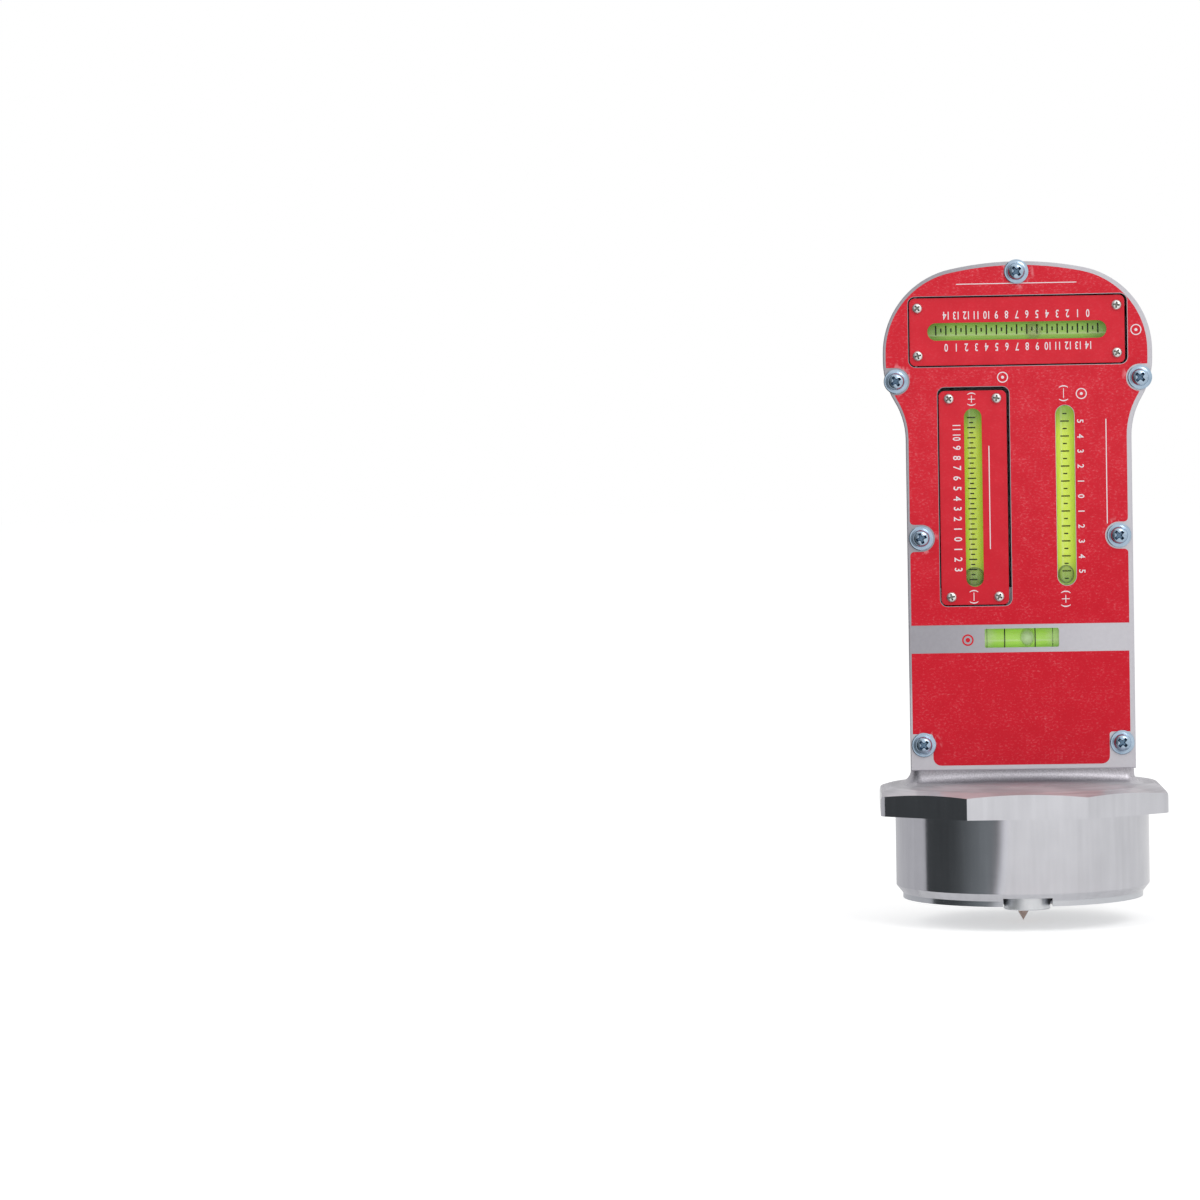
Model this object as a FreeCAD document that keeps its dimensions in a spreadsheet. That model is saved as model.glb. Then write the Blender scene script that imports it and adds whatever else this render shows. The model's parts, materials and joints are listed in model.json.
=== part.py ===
"""Magnetic camber, castor and kingpin gauge.

A hollow cast paddle stands on an octagonal flange and a round drum, with three magnets
and a sprung centring pin underneath. Four bubble vials lie behind the red panel: two are
fixed, and two sit in tilting carriers, each set by a captive bolt with a knob at the back.

+Z runs up from the tip of the centring pin, -Y out of the panel and +X to the reader's
right. Lengths are millimetres.
"""
import math
import os

import FreeCAD, Part
import Sketcher
from FreeCAD import Placement, Rotation, Vector

doc = FreeCAD.newDocument("camber_caster_gauge")

# Driving dimensions. Heights stack up from the tip of the pin.
SIZES = {
    # panel
    "waist_half": 36.9,
    "head_spread": 7.1,
    "crown_radius": 105.0,
    "shoulder_radius": 28.0,
    "cheek_straight": 2.5,
    "cheek_radius": 25.0,
    "waist_radius": 25.0,
    "panel_face": 18.0,
    "panel_thickness": 2.0,
    "panel_edge": 0.3,
    "panel_overhang": 0.4,
    # casting
    "back_face": 16.0,
    "wall": 3.0,
    "back_round": 6.0,
    "cavity_floor_rise": 4.6,
    "boss_radius": 4.5,
    "support_root": 0.75,
    "neck_height": 3.5,
    "neck_round": 3.0,
    "neck_flare": 3.8,
    # flange: each rise starts where the one before it ends
    "flange_margin": 10.1,
    "flange_front_half": 19.5,
    "flange_side_half": 25.4,
    "flange_edge": 0.5,
    "flange_side_edge": 5.7,
    "flange_corner_rise": 7.0,
    "flange_edge_rise": 1.6,
    "flange_peak_rise": 2.2,
    "flange_crown_inset": 2.0,
    "flange_cheek_rise": 0.2,
    "flange_cheek_width": 4.2,
    "flange_cheek_climb": 1.7,
    "flange_cheek_round": 3.5,
    # drum
    "drum_height": 28.9,
    "drum_inset": 5.0,
    "drum_chamfer": 2.0,
    "drum_chamfer_rise": 2.5,
    "lip_step": 0.2,
    "lip_rise": 1.8,
    # magnets
    "pin_reach": 7.0,
    "magnet_proud": 1.2,
    "magnet_radius": 7.6,
    "magnet_height": 10.0,
    "magnet_edge": 0.3,
    "magnet_clearance": 0.1,
    "notch_clearance": 0.4,
    "notch_depth": 2.8,
    # centring pin
    "pin_radius": 4.0,
    "pin_point": 6.9,
    "pin_length": 38.0,
    "pin_travel": 7.2,
    "pin_spare": 0.8,
    "pin_clearance": 0.05,
    "collar_step": 1.2,
    "collar_height": 2.0,
    "bush_wall": 2.95,
    "bush_height": 7.8,
    "bush_edge": 0.6,
    "bush_clearance": 0.03,
    "pin_spring_gap": 0.5,
    "pin_spring_wire": 1.4,
    "pin_bore_clearance": 0.3,
    # panel screws
    "top_screw_inset": 3.4,
    "head_screw_drop": 38.7,
    "head_screw_inset": 4.15,
    "waist_screw_rise": 76.5,
    "waist_screw_inset": 4.55,
    "foot_screw_rise": 8.5,
    "foot_screw_inset": 4.4,
    "screw_radius": 1.45,
    "screw_length": 14.0,
    "screw_head_radius": 2.85,
    "screw_head_height": 2.0,
    "screw_clearance": 0.2,
    "thread_gap": 0.05,
    "washer_radius": 4.0,
    "washer_thickness": 0.8,
    # scale plates and their windows
    "kingpin_gap": 4.2,
    "castor_gap": 8.4,
    "castor_margin": 11.0,
    "plate_margin": 8.85,
    "plate_width": 22.1,
    "plate_corner": 1.8,
    "plate_thickness": 1.2,
    "plate_recess": 0.7,
    "window_relief": 0.5,
    "pivot_gap": 0.45,
    "castor_far_gap": 1.2,
    "castor_left_gap": 0.45,
    "castor_right_gap": 0.95,
    "kingpin_far_gap": 0.85,
    "kingpin_side_gap": 0.5,
    "window_corner": 2.4,
    "slot_inset": 1.7,
    "slot_lap": 1.625,
    "plate_screw_radius": 0.9,
    "plate_screw_length": 4.0,
    "plate_screw_head": 1.7,
    "plate_screw_dome": 1.1,
    "plate_screw_inset": 2.6,
    "plate_screw_margin": 3.25,
    # vials
    "camber_raise": 0.3,
    "camber_slot_inset": 1.45,
    "camber_slot_lap": 1.45,
    "level_across": 0.15,
    "level_rise": 43.3,
    "level_gap": 0.35,
    "level_window_inset": 1.85,
    "level_window_lap": 1.375,
    "level_window_corner": 0.6,
    "vial_inset": 4.15,
    "vial_radius": 4.5,
    "vial_wall": 0.8,
    "level_vial_length": 28.0,
    "vial_gap": 0.3,
    "plug_length": 1.5,
    "plug_gap": 0.03,
    "bubble_clearance": 0.7,
    "bubble_half": 3.3,
    "bubble_end_gap": 0.2,
    "level_bubble_half": 2.6,
    "kingpin_bubble_at": 5.5,
    "level_bubble_at": 2.0,
    # tilting carriers
    "carrier_side_inset": 1.05,
    "carrier_inset": 0.35,
    "carrier_web": 0.8,
    "carrier_corner": 4.0,
    "groove_clearance": 0.1,
    "pivot_inset": 1.95,
    "pivot_depth": 4.6,
    "pivot_radius": 1.0,
    "pivot_clearance": 0.04,
    "pivot_fit": 0.02,
    "ear_gap": 0.3,
    "ear_thickness": 2.5,
    "ear_half_width": 3.5,
    "ear_cover": 2.4,
    # adjusting bolts
    "bolt_inset": 8.65,
    "bolt_radius": 2.5,
    "bolt_clearance": 0.1,
    "bolt_short": 2.8,
    "nut_play": 0.8,
    "nut_boss_wall": 1.5,
    "nut_boss_reach": 9.9,
    "insert_wall": 0.7,
    "insert_setback": 0.7,
    "insert_gap": 0.03,
    "knob_radius": 9.0,
    "knob_length": 8.7,
    "knob_edge": 0.8,
    "knob_bore_depth": 6.0,
    "knob_gap": 0.2,
    "knob_fit": 0.025,
    "flute_radius": 1.1,
    "flute_depth": 0.6,
    "clip_width": 2.9,
    "clip_thickness": 0.8,
    "clip_gap": 0.1,
    "bolt_spring_gap": 1.7,
    "bolt_spring_wire": 1.0,
    # holders of the fixed vials
    "holder_side_wall": 2.4,
    "holder_gap": 0.1,
    "holder_web": 1.0,
    "holder_end_wall": 1.7,
    "lug_length": 6.5,
    "lug_step": 3.9,
    "post_radius": 3.6,
    "holder_screw_spare": 1.4,
    "holder_screw_radius": 1.2,
    "holder_screw_length": 12.0,
    "holder_screw_head": 2.2,
    "holder_screw_dome": 1.5,
    # shared
    "seat_gap": 0.05,
    "overrun": 5.0,
}

# The outline of a bubble, in shares of its radius and its half length
BUBBLE_SHARES = [(0.5, -0.88), (0.85, -0.56), (1.0, -0.16), (1.0, 0.16), (0.85, 0.56), (0.5, 0.88)]
# A pan head's steps as shares of its radius and height
HEAD_SHARES = [(1.0, 0.35), (0.86, 0.72), (0.55, 0.95)]
# How far the camber vial stands along the room that the castor carrier leaves it
CAMBER_PLACE_SHARE = 0.6467
# How much of a slot's half width its end rounding takes
SLOT_ROUND_SHARE = 0.998
KNOB_FLUTES = 16

sheet = doc.addObject("Spreadsheet::Sheet", "Sizes")
for row, (alias, length) in enumerate(SIZES.items(), start=1):
    sheet.set(f"A{row}", alias)
    sheet.set(f"B{row}", str(length))
    sheet.setAlias(f"B{row}", alias)
doc.recompute()


class Size:
    """A length that also knows the sheet formula it comes from."""

    def __init__(self, formula, value):
        self.formula = formula
        self.value = value

    def __float__(self):
        return self.value

    def __neg__(self):
        return Size(f"(-{self.formula})", -self.value)

    def __add__(self, other):
        other = as_size(other)
        return Size(f"({self.formula} + {other.formula})", self.value + other.value)

    def __sub__(self, other):
        other = as_size(other)
        return Size(f"({self.formula} - {other.formula})", self.value - other.value)

    def __mul__(self, factor):
        return Size(f"({self.formula} * {factor})", self.value * factor)

    def __truediv__(self, divisor):
        return Size(f"({self.formula} / {divisor})", self.value / divisor)

    __radd__ = __add__
    __rmul__ = __mul__


def as_size(number):
    """A Size as it is, or a plain number as a Size."""
    return number if isinstance(number, Size) else Size(str(number), float(number))


class Sizes:
    """The sheet's cells by name."""

    def __getattr__(self, alias):
        return Size(f"Sizes.{alias}", float(sheet.get(alias)))


s = Sizes()
NONE = as_size(0)

# Heights from the pin's tip up to the foot of the panel
magnet_face = s.pin_reach
lip_foot = magnet_face + s.magnet_proud
flange_foot = lip_foot + s.drum_height
flange_rises = (s.flange_corner_rise, s.flange_edge_rise, s.flange_peak_rise)
panel_foot = flange_foot + sum(flange_rises) + s.neck_height
cavity_floor = panel_foot + s.cavity_floor_rise

# Half widths of the outline, the flange and the drum
head_half = s.waist_half + s.head_spread
flange_half = s.waist_half + s.flange_margin
drum_radius = flange_half - s.drum_inset
lip_radius = drum_radius - s.drum_chamfer - s.lip_step
magnet_circle = lip_radius - s.magnet_radius

# Depths, counted from the front
panel_front = -s.panel_face
rim = panel_front + s.panel_thickness
back_inside = s.back_face - s.wall
root = back_inside + s.support_root
plate_front = panel_front + s.plate_recess
plate_back = plate_front + s.plate_thickness
carried_vial = plate_back + s.vial_gap + s.vial_radius
carrier_back = carried_vial + s.vial_radius + s.groove_clearance + s.carrier_web
fixed_vial = rim + s.vial_gap + s.vial_radius
holder_front = rim + s.holder_gap
holder_back = fixed_vial + s.vial_radius + s.groove_clearance + s.holder_web
lug_front = holder_front + s.lug_step
nut_end = carrier_back + s.nut_boss_reach
nut_start = carrier_back + s.insert_setback
bolt_tip = nut_start + s.bolt_short
knob_foot = s.back_face + s.knob_gap
clip_start = back_inside - s.clip_gap - s.clip_thickness

# Sizes of the vials, plates, carriers and holders
plate_length = (head_half - s.plate_margin) * 2
vial_length = plate_length - s.vial_inset * 2
vial_bore = s.vial_radius - s.vial_wall
slot_length = vial_length - s.slot_inset * 2
slot_width = (s.vial_radius - s.slot_lap) * 2
carrier_width = s.plate_width - s.carrier_side_inset * 2
holder_width = (s.vial_radius + s.groove_clearance + s.holder_side_wall) * 2
low_bubble_at = s.plug_length + s.bubble_end_gap + s.bubble_half - vial_length / 2
pivot_along = s.pivot_inset - plate_length / 2
pivot_depth = plate_back + s.pivot_depth
pin_half = carrier_width / 2 + s.ear_gap + s.ear_thickness
bolt_at = plate_length / 2 - s.bolt_inset
insert_bore = s.bolt_radius + s.nut_play
insert_radius = insert_bore + s.insert_wall

# Places of the vials, which stack up from the panel's foot, and the panel's top
holder_half = vial_length / 2 + s.holder_end_wall + s.lug_length
level_height = panel_foot + s.level_rise
camber_height = level_height + holder_width / 2 + s.level_gap + holder_half
castor_height = camber_height - s.camber_raise
kingpin_height = castor_height + plate_length / 2 + s.castor_gap + s.plate_width / 2
top_screw_height = kingpin_height + s.plate_width / 2 + s.kingpin_gap + s.washer_radius
panel_top = top_screw_height + s.top_screw_inset
castor_across = s.castor_margin + s.plate_width / 2 - s.waist_half
castor_side = castor_across + pin_half
boss_side = s.waist_half - s.waist_screw_inset - s.boss_radius
camber_room = boss_side - castor_side - holder_width
camber_across = castor_side + camber_room * CAMBER_PLACE_SHARE + holder_width / 2

# The centring pin, its bush and its spring
bush_radius = s.pin_radius + s.pin_clearance + s.bush_wall
bush_top = lip_foot + s.bush_height
collar_foot = bush_top + s.seat_gap
pin_spring_inner = s.pin_radius + s.pin_spring_gap
pin_spring_outer = pin_spring_inner + s.pin_spring_wire
pin_bore_radius = pin_spring_outer + s.pin_bore_clearance
pin_bore_top = s.pin_length + s.pin_travel + s.pin_spare

# The way a primitive's own Z axis points
TURN = {
    "x": Rotation(Vector(0, 1, 0), 90),
    "y": Rotation(Vector(1, 0, 0), -90),
    "-y": Rotation(Vector(1, 0, 0), 90),
    "z": Rotation(),
}


def bind(item, formulas):
    """Tie properties of an object to the sheet."""
    for path, length in formulas.items():
        item.setExpression(path, as_size(length).formula)
    return item


def cylinder(name, radius, height, start=(NONE, NONE, NONE), along="z"):
    """A cylinder whose axis starts at a point and runs along X, Y or Z."""
    item = doc.addObject("Part::Cylinder", name)
    item.Placement = Placement(Vector(), TURN[along])
    x, y, z = start
    return bind(item, {"Radius": radius, "Height": height, "Placement.Base.x": x,
                       "Placement.Base.y": y, "Placement.Base.z": z})


def block(name, spans, corner):
    """A box from its three spans and its low corner."""
    item = doc.addObject("Part::Box", name)
    keys = ("Length", "Width", "Height",
            "Placement.Base.x", "Placement.Base.y", "Placement.Base.z")
    return bind(item, dict(zip(keys, (*spans, *corner))))


def joined(name, *items):
    """Several objects as one."""
    whole = doc.addObject("Part::MultiFuse", name)
    whole.Shapes = list(items)
    return whole


def gathered(name, *items):
    """Several separate solids as one group."""
    group = doc.addObject("Part::Compound", name)
    group.Links = list(items)
    return group


def cut(name, base, *tools):
    """One object less the others."""
    result = doc.addObject("Part::Cut", name)
    result.Base = base
    result.Tool = tools[0] if len(tools) == 1 else joined(name + "_cuts", *tools)
    return result


def ring(name, outer, inner, height, start=(NONE, NONE, NONE), along="z"):
    """A plain ring or tube."""
    return cut(name, cylinder(name + "_outer", outer, height, start, along),
               cylinder(name + "_inner", inner, height, start, along))


def turned(name, profile):
    """A body turned about Z from a closed profile of (radius, height) corners."""
    body = doc.addObject("PartDesign::Body", name)
    sketch = body.newObject("Sketcher::SketchObject", name + "_profile")
    sketch.AttachmentSupport = (
        next(item for item in body.Origin.OriginFeatures if item.Role == "XZ_Plane"), [""])
    sketch.MapMode = "FlatFace"
    corners = [Vector(float(radius), float(height), 0) for radius, height in profile]
    following = corners[1:] + corners[:1]
    for start, end in zip(corners, following):
        sketch.addGeometry(Part.LineSegment(start, end), False)
    for index in range(len(corners)):
        sketch.addConstraint(
            Sketcher.Constraint("Coincident", index, 2, (index + 1) % len(corners), 1))
    origin, upright = -1, -2
    for index, (radius, height) in enumerate(profile):
        if corners[index].x == 0:
            sketch.addConstraint(Sketcher.Constraint("PointOnObject", index, 1, upright))
        else:
            across = sketch.addConstraint(Sketcher.Constraint(
                "DistanceX", origin, 1, index, 1, corners[index].x))
            sketch.setExpression(f"Constraints[{across}]", radius.formula)
        up = sketch.addConstraint(Sketcher.Constraint(
            "DistanceY", origin, 1, index, 1, corners[index].y))
        sketch.setExpression(f"Constraints[{up}]", as_size(height).formula)
    doc.recompute()
    spin = body.newObject("PartDesign::Revolution", name + "_turning")
    spin.Profile = sketch
    spin.ReferenceAxis = (sketch, ["V_Axis"])
    spin.Angle = 360
    return body


def pan_screw(name, radius, length, head_radius, head_height):
    """A pan-head screw turned about Z, its head above Z = 0."""
    return turned(name, [
        (0, -length),
        (radius, -length),
        (radius, 0),
        (head_radius, 0),
        *[(head_radius * across, head_height * high) for across, high in HEAD_SHARES],
        (0, head_height),
    ])


def copies(name, pattern, places, turn=TURN["z"]):
    """One group of equal solids, a copy of the pattern at each place."""
    doc.recompute()
    group = doc.addObject("Part::Feature", name)
    solids = []
    for place in places:
        solid = pattern.Shape.copy()
        solid.Placement = Placement(place, turn).multiply(pattern.Shape.Placement)
        solids.append(solid)
    group.Shape = Part.makeCompound(solids)
    return group


# The centre of each vial unit, and the way its length runs
UPRIGHT = Rotation(Vector(0, 1, 0), -90)
SIDEWAYS = Rotation()
UNITS = {
    "castor": (castor_across, castor_height, UPRIGHT),
    "kingpin": (NONE, kingpin_height, SIDEWAYS),
    "camber": (camber_across, camber_height, UPRIGHT),
    "level": (s.level_across, level_height, SIDEWAYS),
}
PIECES = []


def piece(label, item, unit=None):
    """Name a finished sub-part. One of a vial unit is drawn about the unit's centre,
    with its length along X, and goes to the unit's place here."""
    item.Label = label
    if unit:
        across, height, turn = UNITS[unit]
        item.Placement = Placement(Vector(), turn)
        bind(item, {"Placement.Base.x": across, "Placement.Base.z": height})
    PIECES.append(item)
    return item


def in_gauge(unit, along, depth, side):
    """A point of a vial unit in the gauge's frame."""
    across, height, turn = UNITS[unit]
    point = Vector(float(along), float(depth), float(side))
    return Placement(Vector(float(across), 0, float(height)), turn).multVec(point)


def outline(inset, foot):
    """The panel's edge as a closed wire in the XZ plane, drawn in by an inset."""
    head, waist = float(head_half), float(s.waist_half)
    crown, shoulder = float(s.crown_radius), float(s.shoulder_radius)
    cheek, hollow = float(s.cheek_radius), float(s.waist_radius)
    inset, foot = float(inset), float(foot)
    crown_at = Vector(0, 0, panel_top - crown)
    rise = math.sqrt((crown - shoulder) ** 2 - (head - shoulder) ** 2)
    shoulder_at = crown_at + Vector(head - shoulder, 0, rise)
    cheek_at = Vector(head - cheek, 0, shoulder_at.z - float(s.cheek_straight))
    drop = math.sqrt((cheek + hollow) ** 2 - (cheek + hollow - head + waist) ** 2)
    hollow_at = Vector(waist + hollow, 0, cheek_at.z - drop)

    def toward(start, goal, distance):
        return start + (goal - start).normalize() * distance

    def arc(centre, radius, first, last):
        middle = toward(centre, (first + last) / 2, radius)
        return Part.Arc(first, middle, last).toShape()

    shoulder_top = toward(crown_at, shoulder_at, crown - inset)
    shoulder_side = shoulder_at + Vector(shoulder - inset, 0, 0)
    cheek_side = cheek_at + Vector(cheek - inset, 0, 0)
    cheek_foot = toward(cheek_at, hollow_at, cheek - inset)
    hollow_side = hollow_at - Vector(hollow + inset, 0, 0)
    corner = Vector(waist - inset, 0, foot)
    right = [
        arc(shoulder_at, shoulder - inset, shoulder_top, shoulder_side),
        Part.makeLine(shoulder_side, cheek_side),
        arc(cheek_at, cheek - inset, cheek_side, cheek_foot),
        arc(hollow_at, hollow + inset, cheek_foot, hollow_side),
        Part.makeLine(hollow_side, corner),
    ]
    left = [edge.mirror(Vector(), Vector(1, 0, 0)) for edge in right]
    left_top = Vector(-shoulder_top.x, 0, shoulder_top.z)
    top = Part.Arc(left_top, crown_at + Vector(0, 0, crown - inset), shoulder_top).toShape()
    base = Part.makeLine(corner, Vector(-corner.x, 0, corner.z))
    return Part.Wire(Part.__sortEdges__([top, base, *right, *left]))


def slab(wire, front, back):
    """A wire in the XZ plane made solid between two depths."""
    face = Part.Face(wire)
    face.translate(Vector(0, front, 0))
    return face.extrude(Vector(0, float(back) - float(front), 0))


def bar(radius, front, back, place):
    """A solid cylinder along Y between two depths."""
    start = Vector(place.x, front, place.z)
    return Part.makeCylinder(radius, float(back) - float(front), start, Vector(0, 1, 0))


def brick(low, high):
    """A solid box between two corners."""
    low, high = Vector(*low), Vector(*high)
    return Part.makeBox(high.x - low.x, high.y - low.y, high.z - low.z, low)


def runs_along(edge, axis):
    """Whether an edge is straight and runs along an axis."""
    straight = edge.Curve.TypeId == "Part::GeomLine"
    return straight and abs(edge.tangentAt(edge.FirstParameter).dot(axis)) > 0.999


def window(unit, length, width, corner, along=NONE, side=NONE, back=rim + s.overrun):
    """A rounded cut through the panel, drawn about a unit's centre."""
    half_length, half_width = float(length) / 2, float(width) / 2
    low = Vector(along - half_length, panel_front - s.overrun, side - half_width)
    high = Vector(along + half_length, back, side + half_width)
    solid = brick(low, high)
    depth_edges = [edge for edge in solid.Edges if runs_along(edge, Vector(0, 1, 0))]
    solid = solid.makeFillet(corner, depth_edges)
    across, height, turn = UNITS[unit]
    solid.Placement = Placement(Vector(across, 0, height), turn)
    return solid


def panel_screw_places():
    """Where the panel screws stand, seen from the front."""
    pairs = [
        (head_half - s.head_screw_inset, panel_top - s.head_screw_drop),
        (s.waist_half - s.waist_screw_inset, panel_foot + s.waist_screw_rise),
        (s.waist_half - s.foot_screw_inset, panel_foot + s.foot_screw_rise),
    ]
    places = [Vector(0, 0, top_screw_height)]
    for half, height in pairs:
        places += [Vector(-half, 0, height), Vector(half, 0, height)]
    return places


def holder_screw_along(length):
    """How far a holder's screws stand from its middle."""
    return length / 2 + s.holder_end_wall + s.lug_length / 2


def holder_screw_places(unit, length):
    """Where a holder's two screws and posts stand."""
    along = holder_screw_along(length)
    return [in_gauge(unit, -along, 0, 0), in_gauge(unit, along, 0, 0)]


def kingpin_window(back):
    """The window round the kingpin plate, down to a depth."""
    return window("kingpin",
                  plate_length + s.pivot_gap + s.kingpin_far_gap,
                  s.plate_width + s.kingpin_side_gap * 2,
                  s.window_corner,
                  (s.kingpin_far_gap - s.pivot_gap) / 2,
                  back=back)


def front_panel():
    """The flat panel with its windows and screw holes."""
    blank = slab(outline(0, panel_foot), panel_front, rim)
    edges = [edge for edge in blank.Edges
             if all(abs(vertex.Y - panel_front.value) < s.seat_gap.value
                    for vertex in edge.Vertexes)]
    blank = blank.makeChamfer(float(s.panel_edge), edges)
    camber_width = (s.vial_radius - s.camber_slot_lap) * 2
    cuts = [
        window("castor",
               plate_length + s.pivot_gap + s.castor_far_gap,
               s.plate_width + s.castor_left_gap + s.castor_right_gap,
               s.window_corner,
               (s.castor_far_gap - s.pivot_gap) / 2,
               (s.castor_left_gap - s.castor_right_gap) / 2),
        kingpin_window(rim + s.overrun),
        window("camber", vial_length - s.camber_slot_inset * 2, camber_width,
               camber_width / 2 * SLOT_ROUND_SHARE),
        window("level", s.level_vial_length - s.level_window_inset * 2,
               (s.vial_radius - s.level_window_lap) * 2, s.level_window_corner),
    ]
    hole = s.screw_radius + s.screw_clearance
    for place in panel_screw_places():
        cuts.append(bar(hole, panel_front - s.overrun, rim + s.overrun, place))
    return blank.cut(cuts)


def revolved(corners, bowed_after=None, bow=0):
    """A solid turned about Z from (radius, height) corners, with one edge bowed out."""
    points = [Vector(float(radius), 0, float(height)) for radius, height in corners]
    edges = []
    for index, start in enumerate(points):
        end = points[(index + 1) % len(points)]
        if index == bowed_after:
            chord = end - start
            outward = Vector(chord.z, 0, -chord.x).normalize()
            middle = (start + end) / 2 + outward * float(bow)
            edges.append(Part.Arc(start, middle, end).toShape())
        else:
            edges.append(Part.makeLine(start, end))
    return Part.Face(Part.Wire(edges)).revolve(Vector(), Vector(0, 0, 1), 360)


def flange_prism():
    """The eight-sided flange before its top is turned. The corners at the two
    cheeks are well rounded, and those of the front and back flats are crisp."""
    front, side, half = (float(size) for size in
                         (s.flange_front_half, s.flange_side_half, flange_half))
    foot, height = float(flange_foot), float(sum(flange_rises))
    plan = [(front, -half), (half, -side), (half, side), (front, half),
            (-front, half), (-half, side), (-half, -side), (-front, -half), (front, -half)]
    prism = Part.Face(Part.makePolygon([Vector(x, y, foot) for x, y in plan]))
    prism = prism.extrude(Vector(0, 0, height))
    upright = [edge for edge in prism.Edges if runs_along(edge, Vector(0, 0, 1))]
    crisp = [edge for edge in upright if abs(edge.CenterOfMass.x) < (front + half) / 2]
    prism = prism.makeFillet(s.flange_edge, crisp)
    cheeks = [edge for edge in prism.Edges if runs_along(edge, Vector(0, 0, 1))
              and abs(abs(edge.CenterOfMass.x) - half) < s.seat_gap.value]
    return prism.makeFillet(s.flange_side_edge, cheeks)


def flange_cheeks():
    """The shape that the flange's left and right cheeks are rounded down to."""
    half, inner = float(flange_half), float(flange_half - s.flange_cheek_width)
    foot = float(flange_foot)
    shoulder = float(flange_foot + s.flange_corner_rise + s.flange_cheek_rise)
    top = shoulder + float(s.flange_cheek_climb) * half / (half - inner)
    profile = [(-half, foot), (half, foot), (half, shoulder), (0, top), (-half, shoulder),
               (-half, foot)]
    block = Part.Face(Part.makePolygon([Vector(x, -half, z) for x, z in profile]))
    block = block.extrude(Vector(0, half * 2, 0))
    shoulders = [edge for edge in block.Edges if runs_along(edge, Vector(0, 1, 0))
                 and abs(edge.CenterOfMass.x) > inner
                 and edge.CenterOfMass.z > (foot + shoulder) / 2]
    return block.makeFillet(s.flange_cheek_round, shoulders)


def flange():
    """The flange: a prism whose top is turned to a shallow dome with a sloping
    edge, and whose two cheeks are rounded down."""
    corner = math.hypot(s.flange_front_half, flange_half)
    outer = math.hypot(s.flange_side_half, flange_half)
    crown = float(flange_half - s.flange_crown_inset)
    corner_top, crown_top, peak = (
        float(flange_foot + sum(flange_rises[:count])) for count in range(1, 4))
    slope = (crown_top - corner_top) / (corner - crown)
    outer_top = corner_top - slope * (outer - corner)
    chord_half = math.hypot(crown, peak - crown_top) / 2
    dome = chord_half * chord_half * 2 / (peak - crown_top)
    turning = revolved([
        (0, flange_foot),
        (outer, flange_foot),
        (outer, outer_top),
        (crown, crown_top),
        (0, peak),
    ], bowed_after=3, bow=dome - math.sqrt(dome * dome - chord_half * chord_half))
    return flange_prism().common(turning).common(flange_cheeks())


def drum():
    """The round drum with its chamfer and lip."""
    chamfer_foot = lip_foot + s.lip_rise
    return revolved([
        (0, lip_foot),
        (lip_radius, lip_foot),
        (lip_radius, chamfer_foot),
        (drum_radius - s.drum_chamfer, chamfer_foot),
        (drum_radius, chamfer_foot + s.drum_chamfer_rise),
        (drum_radius, flange_foot),
        (0, flange_foot),
    ])


def paddle():
    """The outside of the cast body above the neck, its back edge rounded."""
    solid = slab(outline(s.panel_overhang, panel_foot), rim, s.back_face)
    edges = [edge for edge in solid.Edges
             if all(abs(vertex.Y - s.back_face.value) < s.seat_gap.value
                    for vertex in edge.Vertexes) and edge.CenterOfMass.z > float(cavity_floor)]
    return solid.makeFillet(s.back_round, edges)


def neck():
    """The block between the flange and the paddle."""
    half = s.waist_half - s.panel_overhang
    solid = brick((-half, rim, flange_foot), (half, s.back_face, cavity_floor))
    upright = [edge for edge in solid.Edges if runs_along(edge, Vector(0, 0, 1))]
    front = [edge for edge in upright if edge.CenterOfMass.y < 0]
    back = [edge for edge in upright if edge.CenterOfMass.y > 0]
    return solid.makeFillet(s.neck_round, front).makeFillet(s.back_round, back)


def flared(solid):
    """Round the inner corner where the neck leaves the flange's dome, as far up
    as the panel's foot."""
    low = float(flange_foot + sum(flange_rises[:2]))
    high = float(panel_foot)
    reach = float(s.waist_half)
    edges = []
    for edge in solid.Edges:
        box = edge.BoundBox
        on_dome = box.ZMin > low and box.ZMax < high
        inside = max(abs(box.XMin), abs(box.XMax)) < reach
        if on_dome and inside and not runs_along(edge, Vector(0, 0, 1)):
            edges.append(edge)
    solid = solid.makeFillet(s.neck_flare, edges)
    return solid.cut(brick((-flange_half, -flange_half, panel_foot),
                           (flange_half, rim, cavity_floor + s.overrun)))


def ears(unit):
    """The two ears that hold a carrier's pivot pin."""
    inner = carrier_width / 2 + s.ear_gap
    front = pivot_depth - s.ear_cover
    across, height, turn = UNITS[unit]
    solids = []
    for low, high in ((inner, inner + s.ear_thickness), (-inner - s.ear_thickness, -inner)):
        ear = brick((pivot_along - s.ear_half_width, front, low),
                    (pivot_along + s.ear_half_width, root, high))
        ear.Placement = Placement(Vector(across, 0, height), turn)
        solids.append(ear)
    return solids


def pivot_hole(unit):
    """The cross hole for a carrier's pivot pin."""
    length = pin_half * 2 + s.seat_gap * 2
    hole = Part.makeCylinder(s.pivot_radius + s.pivot_fit, length,
                             Vector(pivot_along, pivot_depth, -(length / 2)))
    across, height, turn = UNITS[unit]
    hole.Placement = Placement(Vector(across, 0, height), turn)
    return hole


def magnet_places():
    """The three magnets, one at the front and two behind."""
    circle = float(magnet_circle)
    return [Vector(circle * math.cos(angle), circle * math.sin(angle), 0)
            for angle in (math.radians(turn) for turn in (-90, 30, 150))]


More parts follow.
